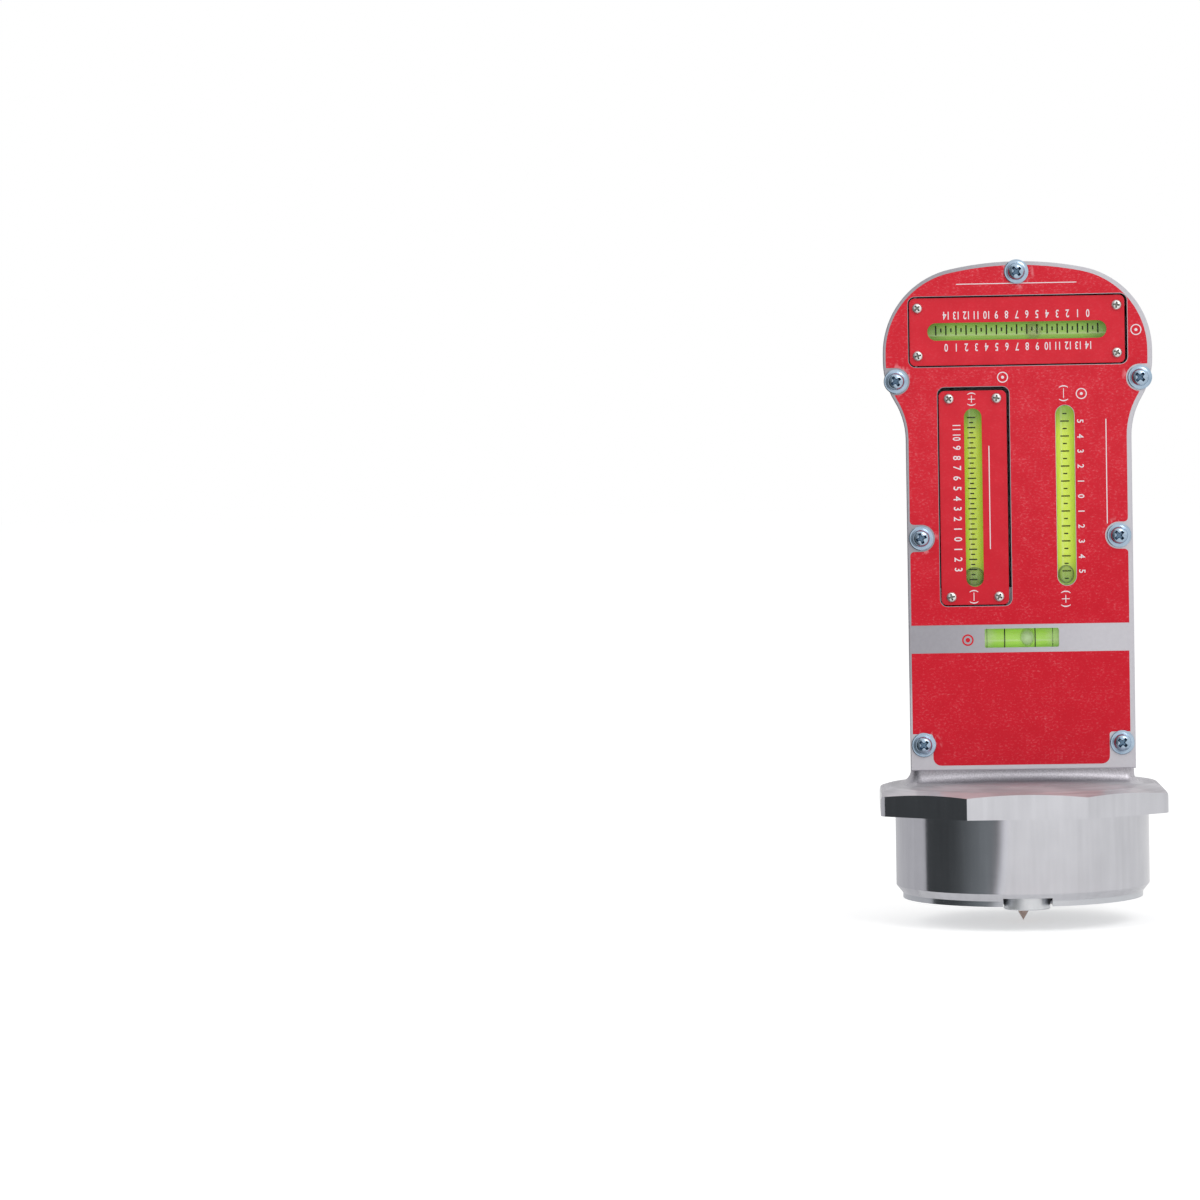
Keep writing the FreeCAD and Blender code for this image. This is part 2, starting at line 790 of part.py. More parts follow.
def magnet_cuts():
    """A round pocket and an outward notch for each magnet."""
    cuts = []
    pocket = s.magnet_radius + s.magnet_clearance
    notch = s.magnet_radius + s.notch_clearance
    top = magnet_face + s.magnet_height + s.magnet_clearance
    low = lip_foot - s.overrun
    for place in magnet_places():
        axis = Vector(place.x, place.y, low)
        cuts.append(Part.makeCylinder(pocket, top - low, axis))
        notch_height = lip_foot + s.notch_depth - low
        cuts.append(Part.makeCylinder(notch, notch_height, axis))
        way_out = Part.makeBox(drum_radius, notch * 2, notch_height, Vector(0, -notch, low))
        outward = math.degrees(math.atan2(place.y, place.x))
        way_out.Placement = Placement(Vector(place.x, place.y, 0),
                                      Rotation(Vector(0, 0, 1), outward))
        cuts.append(way_out)
    return cuts


def housing():
    """The casting: paddle, neck, flange and drum in one, hollow behind the panel."""
    outside = flange().fuse([drum(), neck()]).removeSplitter()
    outside = flared(outside).fuse(paddle()).removeSplitter()
    inset = s.panel_overhang + s.wall
    solid = outside.cut(slab(outline(inset, cavity_floor), rim - s.overrun, back_inside))

    bosses = [bar(s.boss_radius, rim, root, place) for place in panel_screw_places()]
    posts = [bar(s.post_radius, holder_back, root, place)
             for place in (*holder_screw_places("camber", vial_length),
                           *holder_screw_places("level", s.level_vial_length))]
    inner_edge = slab(outline(s.panel_overhang + s.wall / 2, panel_foot), rim, s.back_face)
    supports = [item.common(inner_edge)
                for item in (*bosses, *posts, *ears("castor"), *ears("kingpin"))]
    solid = solid.fuse(supports)

    cuts = [kingpin_window(carrier_back + s.window_relief), *magnet_cuts()]
    for place in panel_screw_places():
        cuts.append(bar(s.screw_radius + s.thread_gap, rim - s.overrun,
                        panel_front + s.screw_length, place))
    for unit, length in (("camber", vial_length), ("level", s.level_vial_length)):
        for place in holder_screw_places(unit, length):
            cuts.append(bar(s.holder_screw_radius + s.thread_gap, holder_back - s.overrun,
                            lug_front + s.holder_screw_length + s.holder_screw_spare, place))
    for unit in ("castor", "kingpin"):
        place = in_gauge(unit, bolt_at, 0, 0)
        cuts.append(bar(s.bolt_radius + s.bolt_clearance, back_inside - s.overrun,
                        s.back_face + s.overrun, place))
        cuts.append(pivot_hole(unit))
    cuts.append(Part.makeCylinder(bush_radius + s.bush_clearance, bush_top - lip_foot + s.overrun,
                                  Vector(0, 0, lip_foot - s.overrun)))
    cuts.append(Part.makeCylinder(pin_bore_radius, pin_bore_top - lip_foot,
                                  Vector(0, 0, lip_foot)))
    return solid.cut(cuts).removeSplitter()


def add_shape(name, shape):
    """An object whose shape comes from Part's own functions."""
    item = doc.addObject("Part::Feature", name)
    item.Shape = shape
    return item


def add_vial(unit, length, depth, bubble_along, bubble_half):
    """A clear tube with a plug at each end, and the bubble inside it."""
    half = length / 2
    tube = ring(f"{unit}_vial_tube", s.vial_radius, vial_bore, length,
                (-half, depth, NONE), "x")
    piece(f"{unit}_vial_tube", tube, unit)
    plug_radius = vial_bore - s.plug_gap
    plugs = gathered(
        f"{unit}_vial_plugs",
        cylinder(f"{unit}_plug_low", plug_radius, s.plug_length, (-half, depth, NONE), "x"),
        cylinder(f"{unit}_plug_high", plug_radius, s.plug_length,
                 (half - s.plug_length, depth, NONE), "x"))
    piece(f"{unit}_vial_plugs", plugs, unit)
    bubble_radius = vial_bore - s.bubble_clearance
    drop = turned(f"{unit}_bubble_drop", [
        (0, -bubble_half),
        *[(bubble_radius * across, bubble_half * along) for across, along in BUBBLE_SHARES],
        (0, bubble_half),
    ])
    drop.Placement = Placement(Vector(), TURN["x"])
    bind(drop, {"Placement.Base.x": bubble_along, "Placement.Base.y": depth})
    piece(f"{unit}_bubble", gathered(f"{unit}_bubble_group", drop), unit)


def body_block(body, kind, name, spans, corner):
    """A box added to a body or taken from it."""
    item = body.newObject(f"PartDesign::{kind}Box", name)
    keys = ("Length", "Width", "Height",
            "Placement.Base.x", "Placement.Base.y", "Placement.Base.z")
    return bind(item, dict(zip(keys, (*spans, *corner))))


def body_cylinder(body, kind, name, radius, height, start, along="y"):
    """A cylinder added to a body or taken from it."""
    item = body.newObject(f"PartDesign::{kind}Cylinder", name)
    item.Placement = Placement(Vector(), TURN[along])
    x, y, z = start
    return bind(item, {"Radius": radius, "Height": height, "Placement.Base.x": x,
                       "Placement.Base.y": y, "Placement.Base.z": z})


def round_corners(body, blank, radius):
    """Round the four edges of a blank that run along Y."""
    doc.recompute()
    edges = [f"Edge{index}" for index, edge in enumerate(blank.Shape.Edges, start=1)
             if runs_along(edge, Vector(0, 1, 0))]
    rounding = body.newObject("PartDesign::Fillet", f"{blank.Name}_corners")
    rounding.Base = (blank, edges)
    return bind(rounding, {"Radius": radius})


def plate_screw_corners():
    """The four corners where a plate is screwed down, as (along, side)."""
    along = plate_length / 2 - s.plate_screw_inset
    side = s.plate_width / 2 - s.plate_screw_margin
    return [(-along, -side), (-along, side), (along, -side), (along, side)]


def add_scale_plate(unit):
    """The red plate of a tilting unit, with its slot and corner holes."""
    length, width, thickness = plate_length, s.plate_width, s.plate_thickness
    body = doc.addObject("PartDesign::Body", f"{unit}_plate")
    blank = body_block(body, "Additive", f"{unit}_plate_blank", (length, thickness, width),
                       (-(length / 2), plate_front, -(width / 2)))
    round_corners(body, blank, s.plate_corner)
    straight = slot_length - slot_width
    body_block(body, "Subtractive", f"{unit}_slot", (straight, thickness, slot_width),
               (-(straight / 2), plate_front, -(slot_width / 2)))
    for name, along in (("low", -(straight / 2)), ("high", straight / 2)):
        body_cylinder(body, "Subtractive", f"{unit}_slot_{name}", slot_width / 2, thickness,
                      (along, plate_front, NONE))
    hole = s.plate_screw_radius + s.screw_clearance
    for index, (along, side) in enumerate(plate_screw_corners(), start=1):
        body_cylinder(body, "Subtractive", f"{unit}_plate_hole_{index}", hole, thickness,
                      (along, plate_front, side))
    piece(f"{unit}_scale_plate", body, unit)


def add_carrier(unit):
    """The bar that carries a vial and its plate, with the boss for the bolt."""
    length, width = plate_length - s.carrier_inset * 2, carrier_width
    body = doc.addObject("PartDesign::Body", f"{unit}_carrier_body")
    blank = body_block(body, "Additive", f"{unit}_bar", (length, carrier_back - plate_back, width),
                       (-(length / 2), plate_back, -(width / 2)))
    round_corners(body, blank, s.carrier_corner)
    boss_start = carrier_back - s.carrier_web / 2
    body_cylinder(body, "Additive", f"{unit}_nut_boss", insert_radius + s.nut_boss_wall,
                  nut_end - boss_start, (bolt_at, boss_start, NONE))
    groove = s.vial_radius + s.groove_clearance
    groove_length = vial_length + s.groove_clearance * 2
    body_cylinder(body, "Subtractive", f"{unit}_groove", groove, groove_length,
                  (-(groove_length / 2), carried_vial, NONE), "x")
    body_block(body, "Subtractive", f"{unit}_groove_mouth",
               (groove_length, carried_vial - plate_back, groove * 2),
               (-(groove_length / 2), plate_back, -groove))
    body_cylinder(body, "Subtractive", f"{unit}_insert_hole", insert_radius + s.insert_gap,
                  nut_end - nut_start, (bolt_at, nut_start, NONE))
    body_cylinder(body, "Subtractive", f"{unit}_pivot_bore", s.pivot_radius + s.pivot_clearance,
                  width, (pivot_along, pivot_depth, -(width / 2)), "z")
    hole_depth = s.plate_screw_length - s.plate_thickness + s.seat_gap
    for index, (along, side) in enumerate(plate_screw_corners(), start=1):
        body_cylinder(body, "Subtractive", f"{unit}_carrier_hole_{index}",
                      s.plate_screw_radius + s.thread_gap, hole_depth, (along, plate_back, side))
    piece(f"{unit}_carrier", body, unit)


def add_knob(unit, across, height):
    """A fluted knob pressed onto its bolt."""
    shank = s.bolt_radius + s.knob_fit
    knob_back = knob_foot + s.knob_length
    name = f"{unit}_knob"
    knob = turned(name, [
        (shank, knob_foot),
        (s.knob_radius - s.knob_edge, knob_foot),
        (s.knob_radius, knob_foot + s.knob_edge),
        (s.knob_radius, knob_back - s.knob_edge),
        (s.knob_radius - s.knob_edge, knob_back),
        (0, knob_back),
        (0, knob_foot + s.knob_bore_depth),
        (shank, knob_foot + s.knob_bore_depth),
    ])
    flute = body_cylinder(knob, "Subtractive", f"{name}_flute", s.flute_radius,
                          knob_back - knob_foot,
                          (s.knob_radius + s.flute_radius - s.flute_depth, NONE, knob_foot), "z")
    doc.recompute()
    flutes = knob.newObject("PartDesign::PolarPattern", f"{name}_flutes")
    flutes.Originals = [flute]
    flutes.Axis = (next(item for item in knob.Origin.OriginFeatures if item.Role == "Z_Axis"),
                   [""])
    flutes.Angle = 360
    flutes.Occurrences = KNOB_FLUTES
    knob.Tip = flutes
    knob.Placement = Placement(Vector(), TURN["y"])
    bind(knob, {"Placement.Base.x": across, "Placement.Base.z": height})
    piece(f"{unit}_adjusting_knob", knob)


def add_adjuster(unit):
    """The captive bolt: knob, threaded shank, clip, spring and the insert it turns in."""
    across, height, turn = UNITS[unit]
    if turn is UPRIGHT:
        add_knob(unit, across, height + bolt_at)
    else:
        add_knob(unit, across + bolt_at, height)
    shank_end = knob_foot + s.knob_bore_depth - s.seat_gap
    shank = cylinder(f"{unit}_shank", s.bolt_radius, shank_end - bolt_tip,
                     (bolt_at, bolt_tip, NONE), "y")
    piece(f"{unit}_adjusting_screw", gathered(f"{unit}_shank_group", shank), unit)
    clip_bore = s.bolt_radius + s.knob_fit
    piece(f"{unit}_screw_clip",
          ring(f"{unit}_clip", s.bolt_radius + s.clip_width, clip_bore, s.clip_thickness,
               (bolt_at, clip_start, NONE), "y"), unit)
    spring_bore = s.bolt_radius + s.bolt_spring_gap
    piece(f"{unit}_carrier_spring",
          ring(f"{unit}_spring", spring_bore + s.bolt_spring_wire, spring_bore,
               clip_start - nut_end - s.seat_gap * 2,
               (bolt_at, nut_end + s.seat_gap, NONE), "y"), unit)
    piece(f"{unit}_threaded_insert",
          ring(f"{unit}_insert", insert_radius, insert_bore, nut_end - nut_start,
               (bolt_at, nut_start, NONE), "y"), unit)
    pivot = cylinder(f"{unit}_pivot", s.pivot_radius, pin_half * 2,
                     (pivot_along, pivot_depth, -pin_half), "z")
    piece(f"{unit}_pivot_pin", gathered(f"{unit}_pivot_group", pivot), unit)


def add_holder(unit, length):
    """The screwed-down cradle of a fixed vial."""
    end = length / 2 + s.holder_end_wall
    half = end + s.lug_length
    groove = s.vial_radius + s.groove_clearance
    groove_half = length / 2 + s.groove_clearance
    side = holder_width / 2
    depth = holder_back - holder_front
    stock = block(f"{unit}_holder_stock", (half * 2, depth, holder_width),
                  (-half, holder_front, -side))
    tools = [
        cylinder(f"{unit}_holder_groove", groove, groove_half * 2,
                 (-groove_half, fixed_vial, NONE), "x"),
        block(f"{unit}_holder_mouth",
              (groove_half * 2, fixed_vial - holder_front + s.overrun, groove * 2),
              (-groove_half, holder_front - s.overrun, -groove)),
    ]
    for name, start in (("low", -half - s.overrun), ("high", end)):
        tools.append(block(f"{unit}_lug_{name}",
                           (s.lug_length + s.overrun, s.lug_step + s.overrun,
                            holder_width + s.overrun * 2),
                           (start, holder_front - s.overrun, -side - s.overrun)))
    along = holder_screw_along(length)
    for name, at in (("low", -along), ("high", along)):
        tools.append(cylinder(f"{unit}_lug_hole_{name}",
                              s.holder_screw_radius + s.screw_clearance,
                              depth + s.overrun, (at, lug_front - s.overrun, NONE), "y"))
    piece(f"{unit}_vial_holder", cut(f"{unit}_holder_body", stock, *tools), unit)


# Casting, panel and the screws that close it
piece("housing", add_shape("housing_casting", housing()))
piece("front_panel", add_shape("panel_sheet", front_panel()))
panel_screw = pan_screw("panel_screw", s.screw_radius, s.screw_length,
                        s.screw_head_radius, s.screw_head_height)
washer = ring("panel_washer", s.washer_radius, s.screw_radius + s.screw_clearance / 2,
              s.washer_thickness)
washer_face = panel_front - s.washer_thickness
piece("panel_screws", copies(
    "panel_screw_set", panel_screw,
    [Vector(place.x, washer_face, place.z) for place in panel_screw_places()], TURN["-y"]))
piece("panel_washers", copies(
    "panel_washer_set", washer,
    [Vector(place.x, panel_front, place.z) for place in panel_screw_places()], TURN["-y"]))

# Magnets
magnet = turned("magnet", [
    (0, magnet_face),
    (s.magnet_radius - s.magnet_edge, magnet_face),
    (s.magnet_radius, magnet_face + s.magnet_edge),
    (s.magnet_radius, magnet_face + s.magnet_height),
    (0, magnet_face + s.magnet_height),
])
for label, place in zip(("front_magnet", "right_magnet", "left_magnet"), magnet_places()):
    piece(label, copies(f"{label}_disc", magnet, [place]))

# Centring pin, its bush and its spring
piece("centring_pin", turned("pin_turning", [
    (0, 0),
    (s.pin_radius, s.pin_point),
    (s.pin_radius, collar_foot),
    (s.pin_radius + s.collar_step, collar_foot),
    (s.pin_radius + s.collar_step, collar_foot + s.collar_height),
    (s.pin_radius, collar_foot + s.collar_height),
    (s.pin_radius, s.pin_length),
    (0, s.pin_length),
]))
piece("pin_bush", turned("bush_turning", [
    (s.pin_radius + s.pin_clearance, lip_foot + s.bush_edge),
    (s.pin_radius + s.pin_clearance + s.bush_edge, lip_foot),
    (bush_radius - s.bush_edge, lip_foot),
    (bush_radius, lip_foot + s.bush_edge),
    (bush_radius, bush_top),
    (s.pin_radius + s.pin_clearance, bush_top),
]))
spring_foot = collar_foot + s.collar_height + s.seat_gap
piece("pin_spring", ring("pin_spring_coil", pin_spring_outer, pin_spring_inner,
                         pin_bore_top - spring_foot - s.seat_gap, (NONE, NONE, spring_foot)))

# Fixed vials: camber upright, level across
add_vial("camber", vial_length, fixed_vial, low_bubble_at, s.bubble_half)
add_vial("level", s.level_vial_length, fixed_vial, s.level_bubble_at, s.level_bubble_half)
add_holder("camber", vial_length)
add_holder("level", s.level_vial_length)
holder_screw = pan_screw("holder_screw", s.holder_screw_radius, s.holder_screw_length,
                         s.holder_screw_head, s.holder_screw_dome)
for unit, length in (("camber", vial_length), ("level", s.level_vial_length)):
    places = [Vector(place.x, lug_front, place.z) for place in holder_screw_places(unit, length)]
    piece(f"{unit}_holder_screws",
          copies(f"{unit}_holder_screw_set", holder_screw, places, TURN["-y"]))

# Tilting vials: castor upright, kingpin across
plate_screw = pan_screw("plate_screw", s.plate_screw_radius, s.plate_screw_length,
                        s.plate_screw_head, s.plate_screw_dome)
for unit, bubble_at in (("castor", low_bubble_at), ("kingpin", s.kingpin_bubble_at)):
    add_scale_plate(unit)
    add_carrier(unit)
    add_vial(unit, vial_length, carried_vial, bubble_at, s.bubble_half)
    add_adjuster(unit)
    places = [in_gauge(unit, along, plate_front, side) for along, side in plate_screw_corners()]
    piece(f"{unit}_plate_screws",
          copies(f"{unit}_plate_screw_set", plate_screw, places, TURN["-y"]))

doc.recompute()
for item in doc.Objects:
    if "Invalid" in item.State or "Error" in item.State:
        raise RuntimeError(f"{item.Name} failed: {item.State}")
for item in PIECES:
    if item.Shape.isNull() or not item.Shape.isValid():
        raise RuntimeError(f"{item.Label} has no valid shape")

os.makedirs("parts", exist_ok=True)
for item in PIECES:
    item.Shape.exportStep(f"parts/{item.Label}.step")
    solids = item.Shape.Solids
    volume = sum(solid.Volume for solid in solids)
    print(f"{item.Label}: {len(solids)} solid(s), {volume:.1f} mm3")
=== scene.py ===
# %% [markdown]
# A camber and castor gauge: a polished casting with a flat paddle, four spirit vials behind a red
# printed panel, and a drum whose magnets hold it on a wheel hub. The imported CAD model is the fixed
# frame. Print, paint and the set are measured from the photograph. Lengths are in mm until they are
# multiplied by MM.

# %% Load the frame
import json
import math

import bmesh
import bpy
from mathutils import Matrix, Vector

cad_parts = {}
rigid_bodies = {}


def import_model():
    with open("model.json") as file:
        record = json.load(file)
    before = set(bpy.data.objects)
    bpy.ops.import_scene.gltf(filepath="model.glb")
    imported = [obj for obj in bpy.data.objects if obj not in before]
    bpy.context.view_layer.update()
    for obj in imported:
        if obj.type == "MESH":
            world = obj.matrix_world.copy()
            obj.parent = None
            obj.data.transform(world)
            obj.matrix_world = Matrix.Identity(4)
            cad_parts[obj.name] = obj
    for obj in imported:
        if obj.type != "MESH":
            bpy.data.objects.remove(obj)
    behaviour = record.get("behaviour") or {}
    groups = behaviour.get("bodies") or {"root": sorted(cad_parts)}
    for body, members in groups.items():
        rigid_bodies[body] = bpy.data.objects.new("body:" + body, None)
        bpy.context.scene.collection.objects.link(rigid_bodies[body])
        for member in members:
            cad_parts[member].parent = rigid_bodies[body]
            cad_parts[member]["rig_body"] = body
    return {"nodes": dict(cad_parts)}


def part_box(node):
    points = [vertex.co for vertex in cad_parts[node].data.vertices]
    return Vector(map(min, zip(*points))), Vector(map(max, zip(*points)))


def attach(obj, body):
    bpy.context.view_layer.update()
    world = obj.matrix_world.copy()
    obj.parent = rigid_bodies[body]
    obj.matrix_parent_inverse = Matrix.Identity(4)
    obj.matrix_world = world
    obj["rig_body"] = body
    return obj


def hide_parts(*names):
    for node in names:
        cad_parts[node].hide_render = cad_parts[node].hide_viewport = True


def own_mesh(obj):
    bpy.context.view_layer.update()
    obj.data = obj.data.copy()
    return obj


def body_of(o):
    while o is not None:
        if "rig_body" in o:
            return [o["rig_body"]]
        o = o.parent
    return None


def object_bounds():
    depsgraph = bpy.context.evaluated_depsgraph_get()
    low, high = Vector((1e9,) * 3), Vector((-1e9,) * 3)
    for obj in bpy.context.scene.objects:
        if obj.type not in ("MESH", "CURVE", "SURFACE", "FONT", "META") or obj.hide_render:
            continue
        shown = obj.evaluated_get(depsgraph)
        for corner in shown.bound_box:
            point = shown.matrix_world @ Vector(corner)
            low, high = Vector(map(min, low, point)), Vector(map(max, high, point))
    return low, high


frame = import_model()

for leftover in [o for o in bpy.data.objects if o.name in ("Cube", "Light", "Camera")]:
    bpy.data.objects.remove(leftover)
cad_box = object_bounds()
MM = 0.001
X, Y, Z = 0, 1, 2
print("CAD box in mm:", [[round(v / MM, 2) for v in corner] for corner in cad_box])
for node_name, node in sorted(frame["nodes"].items()):
    low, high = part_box(node_name)
    print(node_name, [round(v / MM, 2) for v in low], [round(v / MM, 2) for v in high],
          body_of(node), [m.name for m in node.data.materials])

# %% [markdown]
# The photograph was taken from far off with a long lens, so the gauge's sides hardly converge. The
# camera stands 1.5 m in front of it, a little to the left and above its middle, and is built from
# its three directions, because a small roll is easy to read there.

# %% Camera
LENS = 135.0
CAMERA_PLACE = Vector((-58.1, -1500.0, 154.4)) * MM
YAW_LEFT, PITCH_DOWN, ROLL = math.radians(3.10), math.radians(1.74), math.radians(-1.0)

ahead = Vector((-math.sin(YAW_LEFT) * math.cos(PITCH_DOWN),
                math.cos(YAW_LEFT) * math.cos(PITCH_DOWN), -math.sin(PITCH_DOWN)))
level_right = Vector((math.cos(YAW_LEFT), math.sin(YAW_LEFT), 0))
level_up = level_right.cross(ahead)
right = level_right * math.cos(ROLL) + level_up * math.sin(ROLL)
up = right.cross(ahead)
link = bpy.context.scene.collection.objects.link
camera = bpy.data.objects.new("camera", bpy.data.cameras.new("camera"))
link(camera)
camera.data.lens = LENS
camera.data.clip_end = 50
camera.matrix_world = Matrix((right, up, -ahead)).transposed().to_4x4()
camera.location = CAMERA_PLACE
bpy.context.scene.camera = camera
bpy.context.scene.view_settings.view_transform = "Standard"
print("camera looks along", [round(v, 3) for v in ahead])

# %% [markdown]
# Two tools serve every material. A Socket holds the output of a shader node, and adding or
# comparing it in Python adds the Math node for it, so a mask reads as a sum instead of as a web of
# wires. Finish starts a material and makes any node from its type, settings and inputs.

# %% Shader tools
class Socket:
    """The output of a shader node. Python's operators on it add Math nodes."""

    def __init__(self, finish, output):
        self.finish, self.output = finish, output

    def maths(self, operation, *others):
        """A Math node whose first input is this socket."""
        return self.finish.maths(operation, self, *others)

    def __add__(self, other):
        return self.maths("ADD", other)

    def __radd__(self, other):
        return self.maths("ADD", other)

    def __sub__(self, other):
        return self.maths("SUBTRACT", other)

    def __rsub__(self, other):
        return self.finish.maths("SUBTRACT", other, self)

    def __mul__(self, other):
        return self.maths("MULTIPLY", other)

    def __truediv__(self, other):
        return self.maths("DIVIDE", other)

    def __gt__(self, other):
        return self.maths("GREATER_THAN", other)

    def __lt__(self, other):
        return self.maths("LESS_THAN", other)


class Finish:
    """A material, or the world's background, under construction."""

    def __init__(self, name, kind=bpy.data.materials, shader="Principled BSDF", **values):
        self.material = kind.new(name)
        self.material.use_nodes = True
        self.tree = self.material.node_tree
        self.shader = self.tree.nodes[shader]
        self.set(**values)

    def set(self, **values):
        """Sets or links inputs of the shader, such as Base_Color or Roughness."""
        for key, value in values.items():
            self.feed(self.shader.inputs[key.replace("_", " ")], value)

    def feed(self, socket, value):
        if isinstance(value, Socket):
            self.tree.links.new(value.output, socket)
        elif hasattr(socket.default_value, "__len__") and len(socket.default_value) == 4:
            socket.default_value = (*value, 1.0)
        else:
            socket.default_value = value

    def node(self, kind, settings=None, inputs=None, output=0):
        """Any node: its type, its settings, and the values or links of its sockets."""
        made = self.tree.nodes.new(kind)
        for key, value in (settings or {}).items():
            setattr(made, key, value)
        for key, value in (inputs or {}).items():
            self.feed(made.inputs[key], value)
        return Socket(self, made.outputs[output])

    def maths(self, operation, *values):
        return self.node("ShaderNodeMath", {"operation": operation}, dict(enumerate(values)))

    def place(self, scale=(1, 1, 1), shift=(0, 0, 0)):
        """The point on the surface, in metres of the object's own frame, stretched by scale."""
        here = self.node("ShaderNodeTexCoord", output="Object")
        return self.node("ShaderNodeMapping", inputs={"Vector": here, "Scale": scale,
                                                      "Location": shift})

    def part(self, vector, axis):
        """The part of a vector along X, Y or Z."""
        return self.node("ShaderNodeSeparateXYZ", inputs={0: vector}, output=axis)

    def along(self, axis):
        """How far the point on the surface is along X, Y or Z, in mm."""
        return self.part(self.place(), axis) / MM

    def noise(self, size, detail=3, stretch=(1, 1, 1), roughness=0.5):
        """A grey cloud whose blotches are about size metres wide."""
        return self.node("ShaderNodeTexNoise", inputs={
            "Vector": self.place(stretch), "Scale": 1 / size, "Detail": detail,
            "Roughness": roughness})

    def ramp(self, value, low, high, low_to=0.0, high_to=1.0):
        """Value between low and high becomes a number between low_to and high_to."""
        return self.node("ShaderNodeMapRange", {"interpolation_type": "SMOOTHSTEP"}, {
            "Value": value, "From Min": low, "From Max": high, "To Min": low_to,
            "To Max": high_to})

    def mix(self, mask, first, second):
        """Colour first where mask is 0 and second where it is 1, each a Socket or 0 to 255."""
        first, second = (c if isinstance(c, Socket) else srgb(*c) for c in (first, second))
        return self.node("ShaderNodeMix", {"data_type": "RGBA"}, {0: mask, 6: first, 7: second},
                         output=2)

    def bump(self, height, depth, strength):
        """Raises the surface by depth metres where height is 1."""
        self.set(Normal=self.node("ShaderNodeBump", inputs={
            "Height": height, "Distance": depth, "Strength": strength}))

    def ray(self, kind):
        """1 for rays of one kind, such as Camera, and 0 for all others."""
        return self.node("ShaderNodeLightPath", output=f"Is {kind} Ray")


def srgb(red, green, blue):
    """A colour as a paint shop reads it, 0 to 255, as the linear values that shaders use."""
    return [c / 255 / 12.92 if c <= 10 else ((c / 255 + 0.055) / 1.055) ** 2.4
            for c in (red, green, blue)]


print("shader tools ready")

# %% [markdown]
# The gauge was photographed on plain white. A pale floor carries its shadow, and the sky is dimmer
# as a lamp than it looks. The polished drum mirrors what surrounds it: all is light but for a
# curved card, seen only in reflections, that leaves a dark band with one hard edge. The card's
# shades go by bearing, in radians from straight ahead of the drum round to the left.

# %% Floor, card and sky
def as_object(name, mesh, *finishes):
    """The bmesh as an object at the origin, with a material slot for each finish."""
    made = bpy.data.objects.new(name, bpy.data.meshes.new(name))
    mesh.to_mesh(made.data)
    mesh.free()
    for finish in finishes:
        made.data.materials.append(finish.material)
    link(made)
    return made


FLOOR_DROP = 0.3 * MM
FLOOR_HALF = 12.0
floor_z = cad_box[0][2] - FLOOR_DROP
floor_paint = Finish("floor_paint", Base_Color=(0.85, 0.85, 0.85), Roughness=1.0,
                     Specular_IOR_Level=0.0)
mirrored_or_through = floor_paint.ray("Glossy") + floor_paint.ray("Transmission")
floor_paint.set(Emission_Color=(1, 1, 1),
                Emission_Strength=floor_paint.ray("Camera") * 0.475 + mirrored_or_through * 0.2)
floor_mesh = bmesh.new()
bmesh.ops.create_grid(floor_mesh, x_segments=1, y_segments=1, size=FLOOR_HALF,
                      matrix=Matrix.Translation((0, 0, floor_z)))
floor = as_object("floor", floor_mesh, floor_paint)

CARD_CENTRE = Vector((-25, -30, 0)) * MM
CARD_FROM, CARD_TO = math.radians(-172), math.radians(-12)
CARD_NEAR, CARD_REACH, CARD_LIFT, CARD_TOP = 0.03, 0.7, 0.2 * MM, 1.1
BEHIND_LEFT = math.radians(101)
card_paint = Finish("card_paint", Base_Color=(0, 0, 0), Roughness=1.0, Specular_IOR_Level=0.0)
from_centre = card_paint.place(shift=-CARD_CENTRE)
card_x, card_y, up_the_card = (card_paint.part(from_centre, axis) for axis in (X, Y, Z))
bearing = (card_x * -1).maths("ARCTAN2", card_y * -1)
dark_side = (card_paint.ramp(bearing, 1.30, 0.42, 0.07, 0.26)
             + card_paint.ramp(up_the_card, 0.05, 0.5, 0.0, 0.12))
light_ahead = card_paint.ramp(bearing, 0.40, 0.22, 0.0, 0.80)
in_the_dark = card_paint.ramp(bearing, 0.38, 0.48) * (bearing < BEHIND_LEFT)
card_paint.set(Emission_Color=card_paint.mix(in_the_dark, (251.6, 251.6, 255), (241, 250.4, 255)),
               Emission_Strength=dark_side * (bearing < BEHIND_LEFT) + light_ahead
               + (bearing > BEHIND_LEFT) * 0.62)
card_mesh = bmesh.new()
profile = [card_mesh.verts.new(CARD_CENTRE + Vector((0, -reach, floor_z + high)))
           for reach, high in ((CARD_NEAR, CARD_LIFT), (CARD_REACH, CARD_LIFT),
                               (CARD_REACH, CARD_TOP))]
profile += [card_mesh.edges.new(pair) for pair in zip(profile, profile[1:])]
bmesh.ops.rotate(card_mesh, cent=CARD_CENTRE, matrix=Matrix.Rotation(CARD_FROM, 3, "Z"),
                 verts=card_mesh.verts[:])
bmesh.ops.spin(card_mesh, geom=profile, cent=CARD_CENTRE, axis=(0, 0, 1),
               angle=CARD_TO - CARD_FROM, steps=48)
card = as_object("card", card_mesh, card_paint)
card.visible_camera = card.visible_diffuse = False
card.visible_shadow = card.visible_transmission = False

sky = Finish("studio", bpy.data.worlds, "Background", Color=(1, 1, 1))
bpy.context.scene.world = sky.material
on_show = sky.ray("Camera").maths("MAXIMUM", sky.ray("Glossy"))
sky.set(Strength=sky.ramp(on_show.maths("MAXIMUM", sky.ray("Transmission")), 0, 1, 0.62, 1.0))
print("studio set, floor at", round(floor_z / MM, 2), "mm")

# %% [markdown]
# Two square soft lamps face the middle of the gauge from above: the key lamp from the right, and a
# weaker one from the left that keeps the shadows open.

